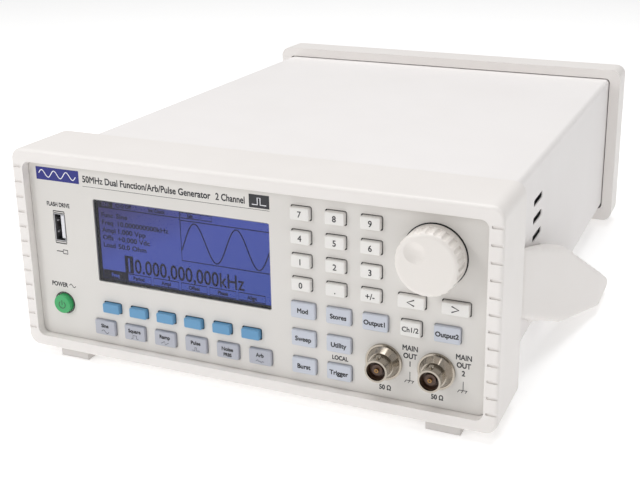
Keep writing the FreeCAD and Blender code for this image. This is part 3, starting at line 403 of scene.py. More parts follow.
# Painted shade: a dark ring round the power button stands in for the shade in the gap round it.
ring(printing_and_shade, POWER_X, POWER_Z, 5.15 * MM, 0.5 * MM, PANEL_FACE)
trigger_low, trigger_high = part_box("key_trigger")
lettered(printing_and_shade, "LOCAL", 1.95, (trigger_low.x + trigger_high.x) / 2, up(19.9), PANEL_FACE)
jacks_low, jacks_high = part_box("output_sockets")
JACK_RADIUS = (jacks_high.z - jacks_low.z) / 2
JACK_Z = (jacks_high.z + jacks_low.z) / 2
JACK_XS = (jacks_low.x + JACK_RADIUS, jacks_high.x - JACK_RADIUS)
for channel, jack_x in enumerate(JACK_XS, start=1):
    name_x = jack_x + 11.2 * MM
    for line, words in enumerate(("MAIN", "OUT", str(channel))):
        lettered(printing_and_shade, words, 2.35, name_x, JACK_Z + (8 - 3.5 * line) * MM, PANEL_FACE)
    earth_z = JACK_Z - 6.6 * MM
    ribbon(printing_and_shade, [(name_x, JACK_Z - 2.6 * MM), (name_x, earth_z)], 0.28 * MM, PANEL_FACE)
    ribbon(printing_and_shade, [(name_x - 1.8 * MM, earth_z), (name_x + 1.8 * MM, earth_z)], 0.28 * MM, PANEL_FACE)
    for tooth in (-1.6, 0, 1.6):
        ribbon(printing_and_shade, [(name_x + tooth * MM, earth_z), (name_x + (tooth - 0.7) * MM, earth_z - 1.1 * MM)],
               0.28 * MM, PANEL_FACE)
    lettered(printing_and_shade, "50 Ω", 2.2, jack_x + 0.4 * MM, up(10.4), PANEL_FACE)
piece_of(printing_and_shade, "panel_printing_and_shade", DARK_INK_AND_SHADE)

badge = bmesh.new()
plate(badge, -103.4 * MM, -80.4 * MM, up(81.4), up(87.4), PANEL_FACE)
piece_of(badge, "title_badge", BLUE_INK)
badge_wave = bmesh.new()
for part in range(3):
    ribbon(badge_wave, wave_points("sine", (-101.9 + 6.6 * part) * MM, up(82.8), 6.6 * MM, 3.2 * MM),
           0.4 * MM, PANEL_FACE - INK)
ribbon(badge_wave, wave_points("pulse", 5.6 * MM, up(82.8), 6.6 * MM, 3 * MM), 0.4 * MM, PANEL_FACE - INK)
piece_of(badge_wave, "title_wave_symbols", PALE_INK)

# ---------------------------------------------------------------- rear panel printing
# Plain names beside the rear sockets, screen printed in the same dark grey ink as the front.
rear_low, rear_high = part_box("rear_panel")
REAR_FACE = rear_high.y
rear_printing = bmesh.new()
for x, z, words in ((10, 73, "TRIG IN"), (30, 73, "MOD IN"), (50, 73, "REF IN"), (70, 73, "REF OUT"),
                    (20, 40.5, "LAN"), (60, 40.5, "USB"), (-73.5, 43, "AC IN")):
    lettered(rear_printing, words, 2.1, x * MM, up(z), REAR_FACE, back=True)
piece_of(rear_printing, "rear_printing", DARK_INK_AND_SHADE)

# ---------------------------------------------------------------- display
# A graphic liquid-crystal module with a blue backlight, behind a clear window.  The window's
# rim is masked in black on its inner side.  The picture is the dark cells of the module.
window_low, window_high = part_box("display_window")
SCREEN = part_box("lcd_module")[0].y
PANE_BACK = window_low.y + 0.8 * MM
CELL_FACE = window_low.y + 1.1 * MM
PICTURE = CELL_FACE - INK
VIEW_LEFT = window_low.x + 1.9 * MM
VIEW_RIGHT = window_high.x - 0.4 * MM
VIEW_LOW = window_low.z + 1.5 * MM
VIEW_HIGH = window_high.z - 0.5 * MM


def backlight():
    """Blue light that is deeper towards the upper left, behind a faint grid of cells."""
    material, tree, shader = fresh_material("display_backlight")
    place = add_node(tree, "ShaderNodeTexCoord").outputs["Object"]
    split = add_node(tree, "ShaderNodeSeparateXYZ", {0: place})
    across = add_node(tree, "ShaderNodeMapRange", {"Value": split.outputs["X"], "From Min": VIEW_LEFT,
                                                   "From Max": VIEW_RIGHT})
    down = add_node(tree, "ShaderNodeMapRange", {"Value": split.outputs["Z"], "From Min": VIEW_HIGH,
                                                 "From Max": VIEW_LOW})
    both = add_node(tree, "ShaderNodeMath", {0: across.outputs[0], 1: down.outputs[0]})
    ramp = add_node(tree, "ShaderNodeValToRGB", {0: add_node(
        tree, "ShaderNodeMath", {0: both.outputs[0], 1: 0.5}, operation="MULTIPLY").outputs[0]})
    stops = ramp.color_ramp.elements
    stops[0].color = swatch(54, 42, 82)
    stops[1].color = swatch(58, 80, 160)
    stops.new(0.42).color = swatch(68, 82, 166)
    cells = add_node(tree, "ShaderNodeTexBrick", {
        "Vector": add_node(tree, "ShaderNodeMapping", {"Vector": place, "Rotation": (math.pi / 2, 0, 0)}
                           ).outputs[0],
        "Scale": 1.0, "Brick Width": 0.34 * MM, "Row Height": 0.34 * MM, "Mortar Size": 0.03 * MM,
        "Color1": (1, 1, 1, 1), "Color2": (0.97, 0.97, 0.98, 1), "Mortar": (0.86, 0.86, 0.9, 1)},
        offset=0.0)
    lit = add_node(tree, "ShaderNodeMix", {0: 1.0, 6: ramp.outputs["Color"], 7: cells.outputs["Color"]},
                   data_type="RGBA", blend_type="MULTIPLY")
    tree.links.new(lit.outputs[2], shader.inputs["Emission Color"])
    shader.inputs["Base Color"].default_value = swatch(22, 20, 34)
    shader.inputs["Specular IOR Level"].default_value = 0.1
    shader.inputs["Emission Strength"].default_value = 0.9
    shader.inputs["Roughness"].default_value = 0.35
    return material


def dark_cells():
    material, tree, shader = fresh_material("display_dark_cells")
    place = add_node(tree, "ShaderNodeTexCoord").outputs["Object"]
    cloud = add_node(tree, "ShaderNodeTexNoise", {"Vector": place, "Scale": 60.0})
    ramp = add_node(tree, "ShaderNodeValToRGB", {0: cloud.outputs["Fac"]})
    ramp.color_ramp.elements[0].color = swatch(12, 10, 26)
    ramp.color_ramp.elements[1].color = swatch(18, 16, 36)
    tree.links.new(ramp.outputs["Color"], shader.inputs["Emission Color"])
    shader.inputs["Base Color"].default_value = swatch(18, 16, 26)
    shader.inputs["Specular IOR Level"].default_value = 0.1
    shader.inputs["Emission Strength"].default_value = 0.6
    return material


BACKLIGHT = backlight()
DARK_CELLS = dark_cells()
dress(BLACK_PLASTIC, "lcd_module")

picture = bmesh.new()
HAIR = 0.42 * MM
ROWS = (("Func", "Sine"), ("Freq", "10.000000000kHz"), ("Ampl", "1.000 Vpp"), ("Offs", "+0.000 Vdc"),
        ("Load", "50.0 Ohm"))
for line, (short, value) in enumerate(ROWS):
    row_z = up(68.4 - 3.55 * line)
    lettered(picture, short, 2.3, VIEW_LEFT + 1.2 * MM, row_z, PICTURE, side="LEFT", squeeze=1.05,
             weight=0.1)
    lettered(picture, value, 2.3, VIEW_LEFT + 9 * MM, row_z, PICTURE, side="LEFT", squeeze=1.15,
             weight=0.1)
plate(picture, VIEW_LEFT, VIEW_LEFT + 7.6 * MM, up(71.9), VIEW_HIGH, PICTURE)
lettered(picture, "CH2 Off", 1.8, VIEW_LEFT + 9.2 * MM, up(73.4), PICTURE, side="LEFT", squeeze=0.9)
lettered(picture, "Int Clock", 1.8, VIEW_LEFT + 26 * MM, up(73.4), PICTURE, side="LEFT", squeeze=0.9)
TABS_LEFT = -30.2 * MM
ribbon(picture, [(VIEW_LEFT, up(71.7)), (TABS_LEFT, up(71.7))], HAIR, PICTURE)
for left, right in ((-29.6, -20.6), (-19.8, -14.6)):
    ribbon(picture, [(left * MM, up(72)), (right * MM, up(72)), (right * MM, up(74.4)),
                     (left * MM, up(74.4))], HAIR, PICTURE, closed=True)
lettered(picture, "Edit", 1.5, -25.1 * MM, up(73.2), PICTURE)
PLOT_LOW, PLOT_HIGH = up(52.2), up(70.8)
ribbon(picture, [(TABS_LEFT, VIEW_HIGH), (TABS_LEFT, PLOT_LOW), (VIEW_RIGHT, PLOT_LOW)], HAIR, PICTURE)
ribbon(picture, [(TABS_LEFT, PLOT_HIGH), (VIEW_RIGHT, PLOT_HIGH)], HAIR, PICTURE)
PEAK_X, PERIOD, SWING = -23.2 * MM, 20.3 * MM, 8.4 * MM
trace = [TABS_LEFT + (VIEW_RIGHT - TABS_LEFT) * i / 90 for i in range(91)]
ribbon(picture, [(x, (PLOT_LOW + PLOT_HIGH) / 2 + SWING * math.cos(math.tau * (x - PEAK_X) / PERIOD))
                 for x in trace], 0.55 * MM, PICTURE)
plate(picture, -60 * MM, -55.6 * MM, up(42.1), up(50.3), PICTURE)
lettered(picture, "0.000,000,000kHz", 6.9, 0, up(46.1), PICTURE, side="RIGHT", squeeze=0.8, weight=0.16)
SOFT_NAMES = ("", "Period", "Ampl", "Offset", "Phase", "Align")
for i, words in enumerate(SOFT_NAMES):
    key_low, key_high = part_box(f"soft_key_{i + 1}")
    middle = min(max((key_low.x + key_high.x) / 2, VIEW_LEFT + 6.6 * MM), VIEW_RIGHT - 6.6 * MM)
    if words:
        outline = [(middle + dx * 6.4 * MM, VIEW_LOW + dz * 3.4 * MM + 0.3 * MM)
                   for dx, dz in ((-1, 0), (1, 0), (1, 1), (-1, 1))]
        ribbon(picture, outline, HAIR, PICTURE, closed=True)
        lettered(picture, words, 1.8, middle, VIEW_LOW + 2 * MM, PICTURE, squeeze=0.9)
    else:
        plate(picture, VIEW_LEFT, middle + 6.6 * MM, VIEW_LOW, VIEW_LOW + 4.2 * MM, PICTURE)
piece_of(picture, "display_picture", DARK_CELLS)

inverse = bmesh.new()
lettered(inverse, "1", 6.9, -57.8 * MM, up(46.1), PICTURE - INK, squeeze=0.8, weight=0.08)
lettered(inverse, "CH1", 1.7, VIEW_LEFT + 3.8 * MM, up(73.3), PICTURE - INK)
lettered(inverse, "Freq", 1.8, VIEW_LEFT + 6.4 * MM, VIEW_LOW + 2.1 * MM, PICTURE - INK, squeeze=0.9)
piece_of(inverse, "display_inverse_letters", BACKLIGHT)


def window_glass():
    """Clear plastic with a hard coat: a faint cool tint and the odd fine wipe mark."""
    material, tree, shader = fresh_material("window_glass")
    place = add_node(tree, "ShaderNodeTexCoord").outputs["Object"]
    wipes = add_node(tree, "ShaderNodeTexNoise", {"Vector": place, "Scale": 300.0, "Detail": 4.0})
    gloss = add_node(tree, "ShaderNodeMapRange",
                     {"Value": wipes.outputs["Fac"], "To Min": 0.02, "To Max": 0.09})
    tree.links.new(gloss.outputs[0], shader.inputs["Roughness"])
    shader.inputs["Base Color"].default_value = swatch(248, 249, 252)
    shader.inputs["IOR"].default_value = 1.25
    shader.inputs["Transmission Weight"].default_value = 1.0
    return material


def slab(mesh, low, high):
    """Add a box between two corners."""
    size = Vector(high) - Vector(low)
    middle = (Vector(high) + Vector(low)) / 2
    place = Matrix.Translation(middle) @ Matrix.Diagonal((*size, 1))
    return bmesh.ops.create_cube(mesh, size=1.0, matrix=place)["verts"]


cell = bmesh.new()
slab(cell, (VIEW_LEFT - 0.5 * MM, CELL_FACE, VIEW_LOW - 0.5 * MM),
     (VIEW_RIGHT + 0.3 * MM, SCREEN, VIEW_HIGH + 0.3 * MM))
piece_of(cell, "display_cell", BACKLIGHT)
MASK = PANE_BACK + 0.05 * MM
pane = bmesh.new()
slab(pane, window_low, (window_high.x, PANE_BACK, window_high.z))
bmesh.ops.bevel(pane, geom=pane.edges[:], offset=0.25 * MM, segments=2, affect="EDGES")
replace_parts(piece_of(pane, "window_pane", window_glass()), "display_window")

mask = bmesh.new()
for left, right, low, high in (
        (window_low.x, VIEW_LEFT, window_low.z, window_high.z),
        (VIEW_RIGHT, window_high.x, window_low.z, window_high.z),
        (VIEW_LEFT, VIEW_RIGHT, window_low.z, VIEW_LOW),
        (VIEW_LEFT, VIEW_RIGHT, VIEW_HIGH, window_high.z)):
    slab(mask, (left, MASK, low), (right, MASK + 0.1 * MM, high))
BLACK_INK = finish("black_mask", swatch(10, 10, 13), swatch(14, 14, 18), rough=0.5, grain=3000.0,
                   depth=0.004)
BLACK_INK.node_tree.nodes["Principled BSDF"].inputs["Specular IOR Level"].default_value = 0.1
piece_of(mask, "window_mask", BLACK_INK)

# ---------------------------------------------------------------- keys
# Caps are moulded in satin plastic and slide in the panel's holes on rubber domes.  Each name
# is pad printed on the cap in dark ink and moves with it.
SOFT_CAP = finish("soft_key_plastic", swatch(98, 152, 192), swatch(84, 138, 182), rough=0.38,
                  grain=2600.0, depth=0.008)
WHITE_CAP = finish("white_key_plastic", swatch(232, 230, 227), swatch(224, 221, 217), rough=0.4,
                   grain=2600.0, depth=0.008)
LILAC_CAP = finish("lilac_key_plastic", swatch(198, 202, 212), swatch(190, 194, 206), rough=0.42,
                   grain=2600.0, depth=0.008)
WAVE_CAP = finish("wave_key_plastic", swatch(178, 180, 190), swatch(170, 172, 183), rough=0.42,
                  grain=2600.0, depth=0.008)
WAVE_NAMES = {"sine": "Sine", "square": "Square", "ramp": "Ramp", "pulse": "Pulse", "noise": "Noise",
              "arb": "Arb"}
MENU_NAMES = {"mod": "Mod", "stores": "Stores", "output_1": "Output1", "output_2": "Output2",
              "sweep": "Sweep", "utility": "Utility", "burst": "Burst", "trigger": "Trigger"}
WHITE_NAMES = {**{str(digit): str(digit) for digit in range(10)}, "point": ".", "sign": "+/-",
               "channel": "Ch1/2"}


def cap_place(node):
    """The middle of a cap's face."""
    low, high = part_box(node)
    return (low.x + high.x) / 2, (low.z + high.z) / 2, low.y


def key_legend(node, words, height, squeeze=0.96, rise=0.0, symbol=None, weight=0.13):
    """A cap's printed name, and under it the symbol of its waveform."""
    x, z, face = cap_place(node)
    legend = bmesh.new()
    lettered(legend, words, height, x, z + rise * MM, face, squeeze=squeeze, weight=weight)
    if symbol:
        symbol(legend, x, z, face)
    piece_of(legend, node + "_legend", DARK_INK_AND_SHADE, body=node)


def wave_symbol(kind):
    def draw(legend, x, z, face):
        points = wave_points(kind, x - 1.9 * MM, z - 2.6 * MM, 3.8 * MM, 1.5 * MM)
        ribbon(legend, points, 0.24 * MM, face)
    return draw


def second_line(legend, x, z, face):
    lettered(legend, "PRBS", 1.6, x, z - 1.6 * MM, face)


GAP = 0.45 * MM
FLANGE = 0.9 * MM
# Painted shade: near-black rubber that darkens the gaps round the caps.
GAP_SHADE_RUBBER = finish("gap_shade_rubber", swatch(36, 35, 36), swatch(48, 46, 46), rough=0.7, grain=1500.0,
                     depth=0.01)


def key_seal(gap_shades, node):
    """Rubber slabs down the gap round a cap, just under the panel's face, coloured dark as painted shade of
    the gap.
    """
    low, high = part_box(node)
    front, back = PANEL_FACE + 0.25 * MM, PANEL_FACE + 1.2 * MM
    hole = (low.x + FLANGE, high.x - FLANGE, low.z + FLANGE, high.z - FLANGE)
    room = 0.06 * MM
    inner = (hole[0] + GAP - room, hole[1] - GAP + room, hole[2] + GAP - room, hole[3] - GAP + room)
    for left, right, bottom, top in ((hole[0], inner[0], hole[2], hole[3]),
                                     (inner[1], hole[1], hole[2], hole[3]),
                                     (inner[0], inner[1], hole[2], inner[2]),
                                     (inner[0], inner[1], inner[3], hole[3])):
        slab(gap_shades, (left, front, bottom), (right, back, top))


gap_shades = bmesh.new()
for node in [f"soft_key_{i}" for i in range(1, 7)] + [f"key_{name}" for name in WHITE_NAMES] + [
        "key_left", "key_right"]:
    key_seal(gap_shades, node)
piece_of(gap_shades, "key_gap_shades", GAP_SHADE_RUBBER)
dress(SOFT_CAP, *[f"soft_key_{i}" for i in range(1, 7)])
for key, words in WAVE_NAMES.items():
    dress(WAVE_CAP, f"key_{key}")
    key_legend(f"key_{key}", words, 1.8, rise=1.1,
               symbol=second_line if key == "noise" else wave_symbol(key))
for key, words in MENU_NAMES.items():
    dress(LILAC_CAP, f"key_{key}")
    key_legend(f"key_{key}", words, 2.15)
for key, words in WHITE_NAMES.items():
    dress(WHITE_CAP, f"key_{key}")
    key_legend(f"key_{key}", words, 2.2 if key == "channel" else 2.7, weight=0.08)
for key, way in (("left", 1), ("right", -1)):
    dress(WHITE_CAP, f"key_{key}")
    x, z, face = cap_place(f"key_{key}")
    chevron = bmesh.new()
    ribbon(chevron, [(x + way * 1.5 * MM, z + 1.3 * MM), (x - way * 1.5 * MM, z),
                     (x + way * 1.5 * MM, z - 1.3 * MM)], 0.55 * MM, face)
    piece_of(chevron, f"key_{key}_legend", DARK_INK_AND_SHADE, body=f"key_{key}")

# ---------------------------------------------------------------- power button
# A round button in green plastic with a printed standby symbol, latching behind the panel.
BUTTON_GREEN = finish("button_green", swatch(58, 168, 100), swatch(48, 152, 90), rough=0.3,
                      grain=2000.0, depth=0.006)
dress(BUTTON_GREEN, "power_button")
standby = bmesh.new()
ribbon(standby, arc(POWER_X, POWER_Z - 0.2 * MM, 1.7 * MM, 125, 415, 30), 0.34 * MM, power_low.y)
ribbon(standby, [(POWER_X, POWER_Z - 0.2 * MM), (POWER_X, POWER_Z + 2.1 * MM)], 0.34 * MM, power_low.y)
piece_of(standby, "power_button_symbol", DARK_INK_AND_SHADE, body="power_button")

# ---------------------------------------------------------------- control knob
# Moulded in one warm-white piece with a fluted rim and a finger dimple, pushed on the steel
# shaft of the encoder.  A dark ring on the panel round its foot is painted shade of the gap there.
KNOB_PLASTIC = finish("knob_plastic", swatch(233, 228, 223), swatch(226, 220, 215), rough=0.34,
                      grain=2200.0, depth=0.008, edge=0.3)
dress(KNOB_PLASTIC, "control_knob")
ZINC = finish("zinc_plate", swatch(178, 178, 180), swatch(150, 150, 156), rough=0.34, grain=1400.0,
              depth=0.01, Metallic=1.0)
dress(ZINC, "encoder_shaft")
knob_low, knob_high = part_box("control_knob")
# Painted shade: a ring of dark ink round the knob's foot stands in for the shade in the gap.
knob_shade_ring = bmesh.new()
ring(knob_shade_ring, (knob_low.x + knob_high.x) / 2, (knob_low.z + knob_high.z) / 2,
     (knob_high.x - knob_low.x) / 2 + 0.1 * MM, 0.7 * MM, PANEL_FACE)
piece_of(knob_shade_ring, "knob_foot_shade_ring", DARK_INK_AND_SHADE)

# ---------------------------------------------------------------- output sockets
# Bayonet coaxial jacks in nickel-plated brass, each drawn against the panel by a flanged nut.
# Brown insulation lines the barrel, and a gilt tube in the middle takes the plug's pin.
NICKEL = finish("nickel_plate", swatch(176, 168, 157), swatch(146, 137, 124), rough=0.18, grain=900.0,
                depth=0.006, Metallic=1.0)
BROWN = finish("brown_insulator", swatch(84, 58, 42), swatch(64, 42, 30), rough=0.4, grain=1800.0,
               depth=0.01)
GILT = finish("gilt_contact", swatch(170, 132, 84), swatch(140, 104, 62), rough=0.3, grain=1200.0,
              depth=0.004, Metallic=1.0)
dress(NICKEL, "output_sockets", "output_socket_nuts")
dress(BROWN, "output_socket_cores")
core_low, core_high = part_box("output_socket_cores")


def tube(mesh, x, z, front, back, outer, inner, steps=36):
    """Add a closed tube that runs back along the depth."""
    rims = [[mesh.verts.new((px, y, pz)) for px, pz in arc(x, z, radius, steps=steps)[:-1]]
            for radius, y in ((outer, front), (outer, back), (inner, back), (inner, front))]
    for here, there in zip(rims, rims[1:] + rims[:1]):
        for i in range(steps):
            mesh.faces.new((here[i], here[i - 1], there[i - 1], there[i]))


liner = bmesh.new()
sleeves = bmesh.new()
for jack_x in JACK_XS:
    tube(liner, jack_x, JACK_Z, jacks_low.y + 1.2 * MM, core_high.y - 0.1 * MM, 4.0 * MM, 3.85 * MM)
    tube(liner, jack_x, JACK_Z, jacks_low.y + 3 * MM, core_high.y - 0.1 * MM, 3.8 * MM, 2.45 * MM)
    tube(sleeves, jack_x, JACK_Z, core_low.y - 0.15 * MM, core_low.y + 2 * MM, 0.85 * MM, 0.5 * MM, steps=20)
piece_of(liner, "socket_liners", BROWN)
piece_of(sleeves, "socket_contacts", GILT)

# ---------------------------------------------------------------- memory-stick socket
# A folded steel shell round a black tongue with four gilt contacts, soldered to the board.
USB_Z = (usb_low.z + usb_high.z) / 2
WALL = 0.35 * MM
usb_shell = bmesh.new()
usb_mouth = usb_low.y
for low, high in (((usb_low.x, usb_low.z), (usb_low.x + WALL, usb_high.z)),
                  ((usb_high.x - WALL, usb_low.z), (usb_high.x, usb_high.z)),
                  ((usb_low.x + WALL, usb_low.z), (usb_high.x - WALL, usb_low.z + WALL)),
                  ((usb_low.x + WALL, usb_high.z - WALL), (usb_high.x - WALL, usb_high.z))):
    slab(usb_shell, (low[0], usb_mouth, low[1]), (high[0], usb_high.y, high[1]))
piece_of(usb_shell, "usb_shell", ZINC)
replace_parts(bpy.data.objects["usb_shell"], "usb_socket")
usb_tongue = bmesh.new()
slab(usb_tongue, (USB_X, usb_mouth + 1 * MM, usb_low.z + 1 * MM),
     (USB_X + 1.9 * MM, usb_high.y - WALL, usb_high.z - 1 * MM))
bmesh.ops.bevel(usb_tongue, geom=usb_tongue.edges[:], offset=0.15 * MM, segments=2, affect="EDGES")
slab(usb_tongue, (usb_low.x + WALL, usb_high.y - WALL, usb_low.z + WALL),
     (usb_high.x - WALL, usb_high.y, usb_high.z - WALL))
piece_of(usb_tongue, "usb_tongue", PALE_INK)
springs = bmesh.new()
for side in (-1, 1):
    place = Matrix.Translation((usb_low.x + WALL + 0.3 * MM, usb_mouth + 2.4 * MM, USB_Z + side * 2.7 * MM))
    bmesh.ops.create_uvsphere(springs, u_segments=16, v_segments=10, radius=0.75 * MM,
                              matrix=place @ Matrix.Diagonal((0.7, 1.4, 1, 1)))
piece_of(springs, "usb_springs", ZINC)
contacts = bmesh.new()
for place in (-3.6, -1.2, 1.2, 3.6):
    slab(contacts, (USB_X - 0.05 * MM, usb_mouth + 1.6 * MM, USB_Z + (place - 0.5) * MM),
         (USB_X + 0.05 * MM, usb_high.y - 3 * MM, USB_Z + (place + 0.5) * MM))
piece_of(contacts, "usb_contacts", GILT)

# ---------------------------------------------------------------- tilt handle
# One moulding in the bezels' plastic: two arms that turn on the bosses at the case's sides and
# a bar under the case.
HANDLE_PLASTIC = finish("handle_plastic", BEZEL_WHITE, BEZEL_SHADE, rough=0.45, grain=2400.0,
                        depth=0.016)
dress(HANDLE_PLASTIC, "handle_pivots")


def eased_moulding(node, name, voxel, passes):
    """A moulding with the node's own form, its edges melted into one flowing skin."""
    source = nodes[node].data.copy()
    holder = bpy.data.objects.new(name, source)
    bpy.context.collection.objects.link(holder)
    welded = bmesh.new()
    welded.from_mesh(source)
    bmesh.ops.remove_doubles(welded, verts=welded.verts, dist=0.01 * MM)
    welded.to_mesh(source)
    welded.free()
    skin = holder.modifiers.new("skin", "REMESH")
    skin.mode = "VOXEL"
    skin.voxel_size = voxel * MM
    ease = holder.modifiers.new("ease", "SMOOTH")
    ease.factor = 0.5
    ease.iterations = passes
    made = bpy.data.meshes.new_from_object(holder.evaluated_get(bpy.context.evaluated_depsgraph_get()))
    holder.modifiers.clear()
    holder.data = made
    made.shade_smooth()
    return holder


handle = eased_moulding("tilt_handle", "handle_moulding", voxel=1.2, passes=14)
handle.data.materials.clear()
handle.data.materials.append(HANDLE_PLASTIC)
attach(handle, "tilt_handle")
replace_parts(handle, "tilt_handle")

# ---------------------------------------------------------------- feet
# Soft grey mouldings pressed into the bezels' undersides.
FOOT_RUBBER = finish("foot_rubber", swatch(216, 212, 209), swatch(204, 200, 197), rough=0.75,
                     grain=1300.0, depth=0.03, edge=1.0)
dress(FOOT_RUBBER, "feet")

# ---------------------------------------------------------------- case screws
# Zinc-plated pan heads with a cross recess: four hold the tray to the cover and four hold the
# rear panel to the rear bezel.


def pan_heads():
    """Geometry nodes that stand a cross-recessed head on each point."""
    tree = bpy.data.node_groups.new("pan_heads", "GeometryNodeTree")
    tree.interface.new_socket("Points", in_out="INPUT", socket_type="NodeSocketGeometry")
    tree.interface.new_socket("Screws", in_out="OUTPUT", socket_type="NodeSocketGeometry")
    sizes = {}
    for name, kind in (("Head radius", "Float"), ("Head height", "Float"), ("Slot width", "Float"),
                       ("Turn", "Rotation"), ("Finish", "Material")):
        sizes[name] = tree.interface.new_socket(name, in_out="INPUT",
                                                socket_type="NodeSocket" + kind).identifier
    given = tree.nodes.new("NodeGroupInput").outputs
    head = add_node(tree, "GeometryNodeMeshCylinder", {
        "Vertices": 28, "Side Segments": 3, "Fill Segments": 3, "Radius": given["Head radius"],
        "Depth": given["Head height"]})
    long_side = add_node(tree, "ShaderNodeMath", {0: given["Head radius"], 1: 1.1}, operation="MULTIPLY")
    arms = []
    for order in (("long", "wide"), ("wide", "long")):
        sockets = {"long": long_side.outputs[0], "wide": given["Slot width"]}
        box = add_node(tree, "ShaderNodeCombineXYZ", {0: sockets[order[0]], 1: sockets[order[1]],
                                                      2: given["Head height"]})
        arms.append(add_node(tree, "GeometryNodeMeshCube", {"Size": box.outputs[0]}).outputs["Mesh"])
    both = add_node(tree, "GeometryNodeJoinGeometry")
    for arm in arms:
        tree.links.new(arm, both.inputs[0])
    lift = add_node(tree, "ShaderNodeCombineXYZ", {2: add_node(
        tree, "ShaderNodeMath", {0: given["Head height"], 1: 0.45}, operation="MULTIPLY").outputs[0]})
    recess = add_node(tree, "GeometryNodeTransform", {"Geometry": both.outputs[0],
                                                      "Translation": lift.outputs[0]})
    cut = add_node(tree, "GeometryNodeMeshBoolean", operation="DIFFERENCE")
    tree.links.new(head.outputs["Mesh"], cut.inputs["Mesh 1"])
    tree.links.new(recess.outputs[0], cut.inputs["Mesh 2"])
    heads = add_node(tree, "GeometryNodeInstanceOnPoints", {
        "Points": given["Points"], "Instance": cut.outputs["Mesh"], "Rotation": given["Turn"]})
    whole = add_node(tree, "GeometryNodeRealizeInstances", {"Geometry": heads.outputs[0]})
    coated = add_node(tree, "GeometryNodeSetMaterial", {"Geometry": whole.outputs[0],
                                                        "Material": given["Finish"]})
    out = tree.nodes.new("NodeGroupOutput")
    tree.links.new(coated.outputs[0], out.inputs[0])
    return tree, sizes


PAN_HEADS, HEAD_INPUTS = pan_heads()
HEAD_HEIGHT = 1.8 * MM


def screws_at(name, places, turn):
    """Screw heads with their middles at these places, as one plain mesh."""
    cloud = bpy.data.meshes.new(name)
    cloud.from_pydata([tuple(place) for place in places], [], [])
    holder = bpy.data.objects.new(name, cloud)
    bpy.context.collection.objects.link(holder)
    stage = holder.modifiers.new("heads", "NODES")
    stage.node_group = PAN_HEADS
    for socket, value in (("Head radius", 3 * MM), ("Head height", HEAD_HEIGHT), ("Slot width", 0.8 * MM),
                          ("Turn", turn), ("Finish", ZINC)):
        stage[HEAD_INPUTS[socket]] = value
    made = bpy.data.meshes.new_from_object(holder.evaluated_get(bpy.context.evaluated_depsgraph_get()))
    holder.modifiers.clear()
    holder.data = made
    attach(holder, "instrument")
    return holder


def middles(points):
    """The middles of clusters of points that lie within a head's width of each other."""
    clusters = []
    for point in points:
        near = next((c for c in clusters if (c[0] - point).length < 9 * MM), None)
        if near:
            near.append(point)
        else:
            clusters.append([point])
    return [Vector([(min(p[i] for p in c) + max(p[i] for p in c)) / 2 for i in range(3)]) for c in clusters]


screw_points = [v.co.copy() for v in nodes["case_screws"].data.vertices]
screw_middles = middles(screw_points)
tray_level = min(p.z for p in screw_points) + HEAD_HEIGHT / 2
rear_level = max(p.y for p in screw_points) - HEAD_HEIGHT / 2
rear_split = rear_level - 20 * MM
tray_heads = [(p.x, p.y, tray_level) for p in screw_middles if p.y < rear_split]
rear_heads = [(p.x, rear_level, p.z) for p in screw_middles if p.y >= rear_split]
tray_screws = screws_at("tray_screws", tray_heads, (math.pi, 0, 0))
rear_screws = screws_at("rear_screws", rear_heads, (-math.pi / 2, 0, 0))
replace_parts(tray_screws, "case_screws")

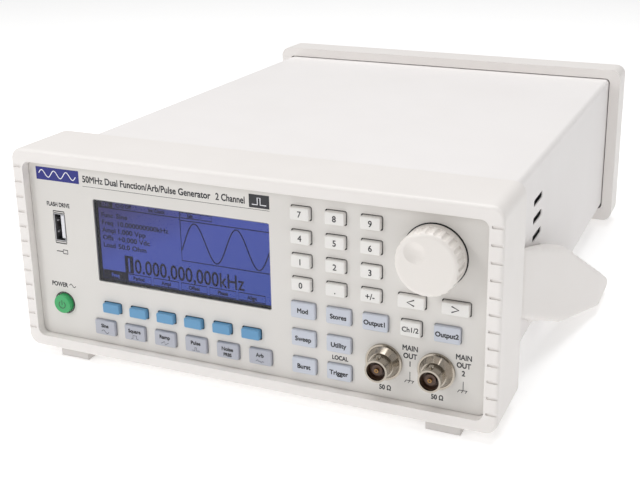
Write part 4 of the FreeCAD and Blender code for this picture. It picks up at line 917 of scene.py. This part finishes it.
# ---------------------------------------------------------------- floor, light and camera
# A pale table top, one broad soft light overhead, a weaker one in front at the left, and a
# camera a little above the panel and to its right.
table = bmesh.new()
bmesh.ops.create_grid(table, x_segments=1, y_segments=1, size=6.0)
table_data = bpy.data.meshes.new("table_top")
table.to_mesh(table_data)
table.free()
table_top = bpy.data.objects.new("table_top", table_data)
TABLE_COAT = finish("table_top", swatch(244, 244, 244), swatch(240, 240, 240), rough=0.7,
                    grain=300.0, depth=0.01)
table_shader = TABLE_COAT.node_tree.nodes["Principled BSDF"]
table_shader.inputs["Emission Color"].default_value = (1, 1, 1, 1)
table_shader.inputs["Emission Strength"].default_value = 0.35
table_data.materials.append(TABLE_COAT)
bpy.context.collection.objects.link(table_top)


def soft_light(name, place, target, size, power):
    lamp = bpy.data.lights.new(name, "AREA")
    lamp.shape = "DISK"
    lamp.size = size
    lamp.energy = power
    holder = bpy.data.objects.new(name, lamp)
    holder.location = place
    holder.rotation_euler = (Vector(target) - Vector(place)).to_track_quat("-Z", "Y").to_euler()
    bpy.context.collection.objects.link(holder)


MIDDLE = (0, 0, 0.05)
soft_light("overhead_light", (0.0, 0.0, 1.5), MIDDLE, 1.2, 13.5)
soft_light("front_light", (-0.8, -1.1, 0.8), MIDDLE, 0.5, 5.2)

sky = bpy.data.worlds.new("studio")
sky.use_nodes = True
sky_tree = sky.node_tree
direction = add_node(sky_tree, "ShaderNodeTexCoord").outputs["Generated"]
tilt = add_node(sky_tree, "ShaderNodeSeparateXYZ", {0: direction}).outputs["Z"]
glow = add_node(sky_tree, "ShaderNodeValToRGB", {0: tilt})
glow.color_ramp.elements[0].color = (0.62, 0.61, 0.60, 1)
glow.color_ramp.elements[1].color = (0.95, 0.95, 0.95, 1)
sky_tree.links.new(glow.outputs["Color"], sky_tree.nodes["Background"].inputs["Color"])
sky_tree.nodes["Background"].inputs["Strength"].default_value = 0.5
bpy.context.scene.world = sky
bpy.context.scene.view_settings.view_transform = "Standard"

camera_data = bpy.data.cameras.new("camera")
camera_data.lens = 58.34
camera_data.shift_x = -0.0765
camera_data.shift_y = -0.1
camera = bpy.data.objects.new("camera", camera_data)
camera.location = (0.2007, -0.4983, 0.2242)
TURN_LEFT, LOOK_DOWN, ROLL = (math.radians(angle) for angle in (21.76, 17.12, -0.08))
camera.matrix_world = (Matrix.Translation(camera.location) @ Matrix.Rotation(TURN_LEFT, 4, "Z")
                       @ Matrix.Rotation(math.pi / 2 - LOOK_DOWN, 4, "X") @ Matrix.Rotation(ROLL, 4, "Z"))
bpy.context.collection.objects.link(camera)
bpy.context.scene.camera = camera
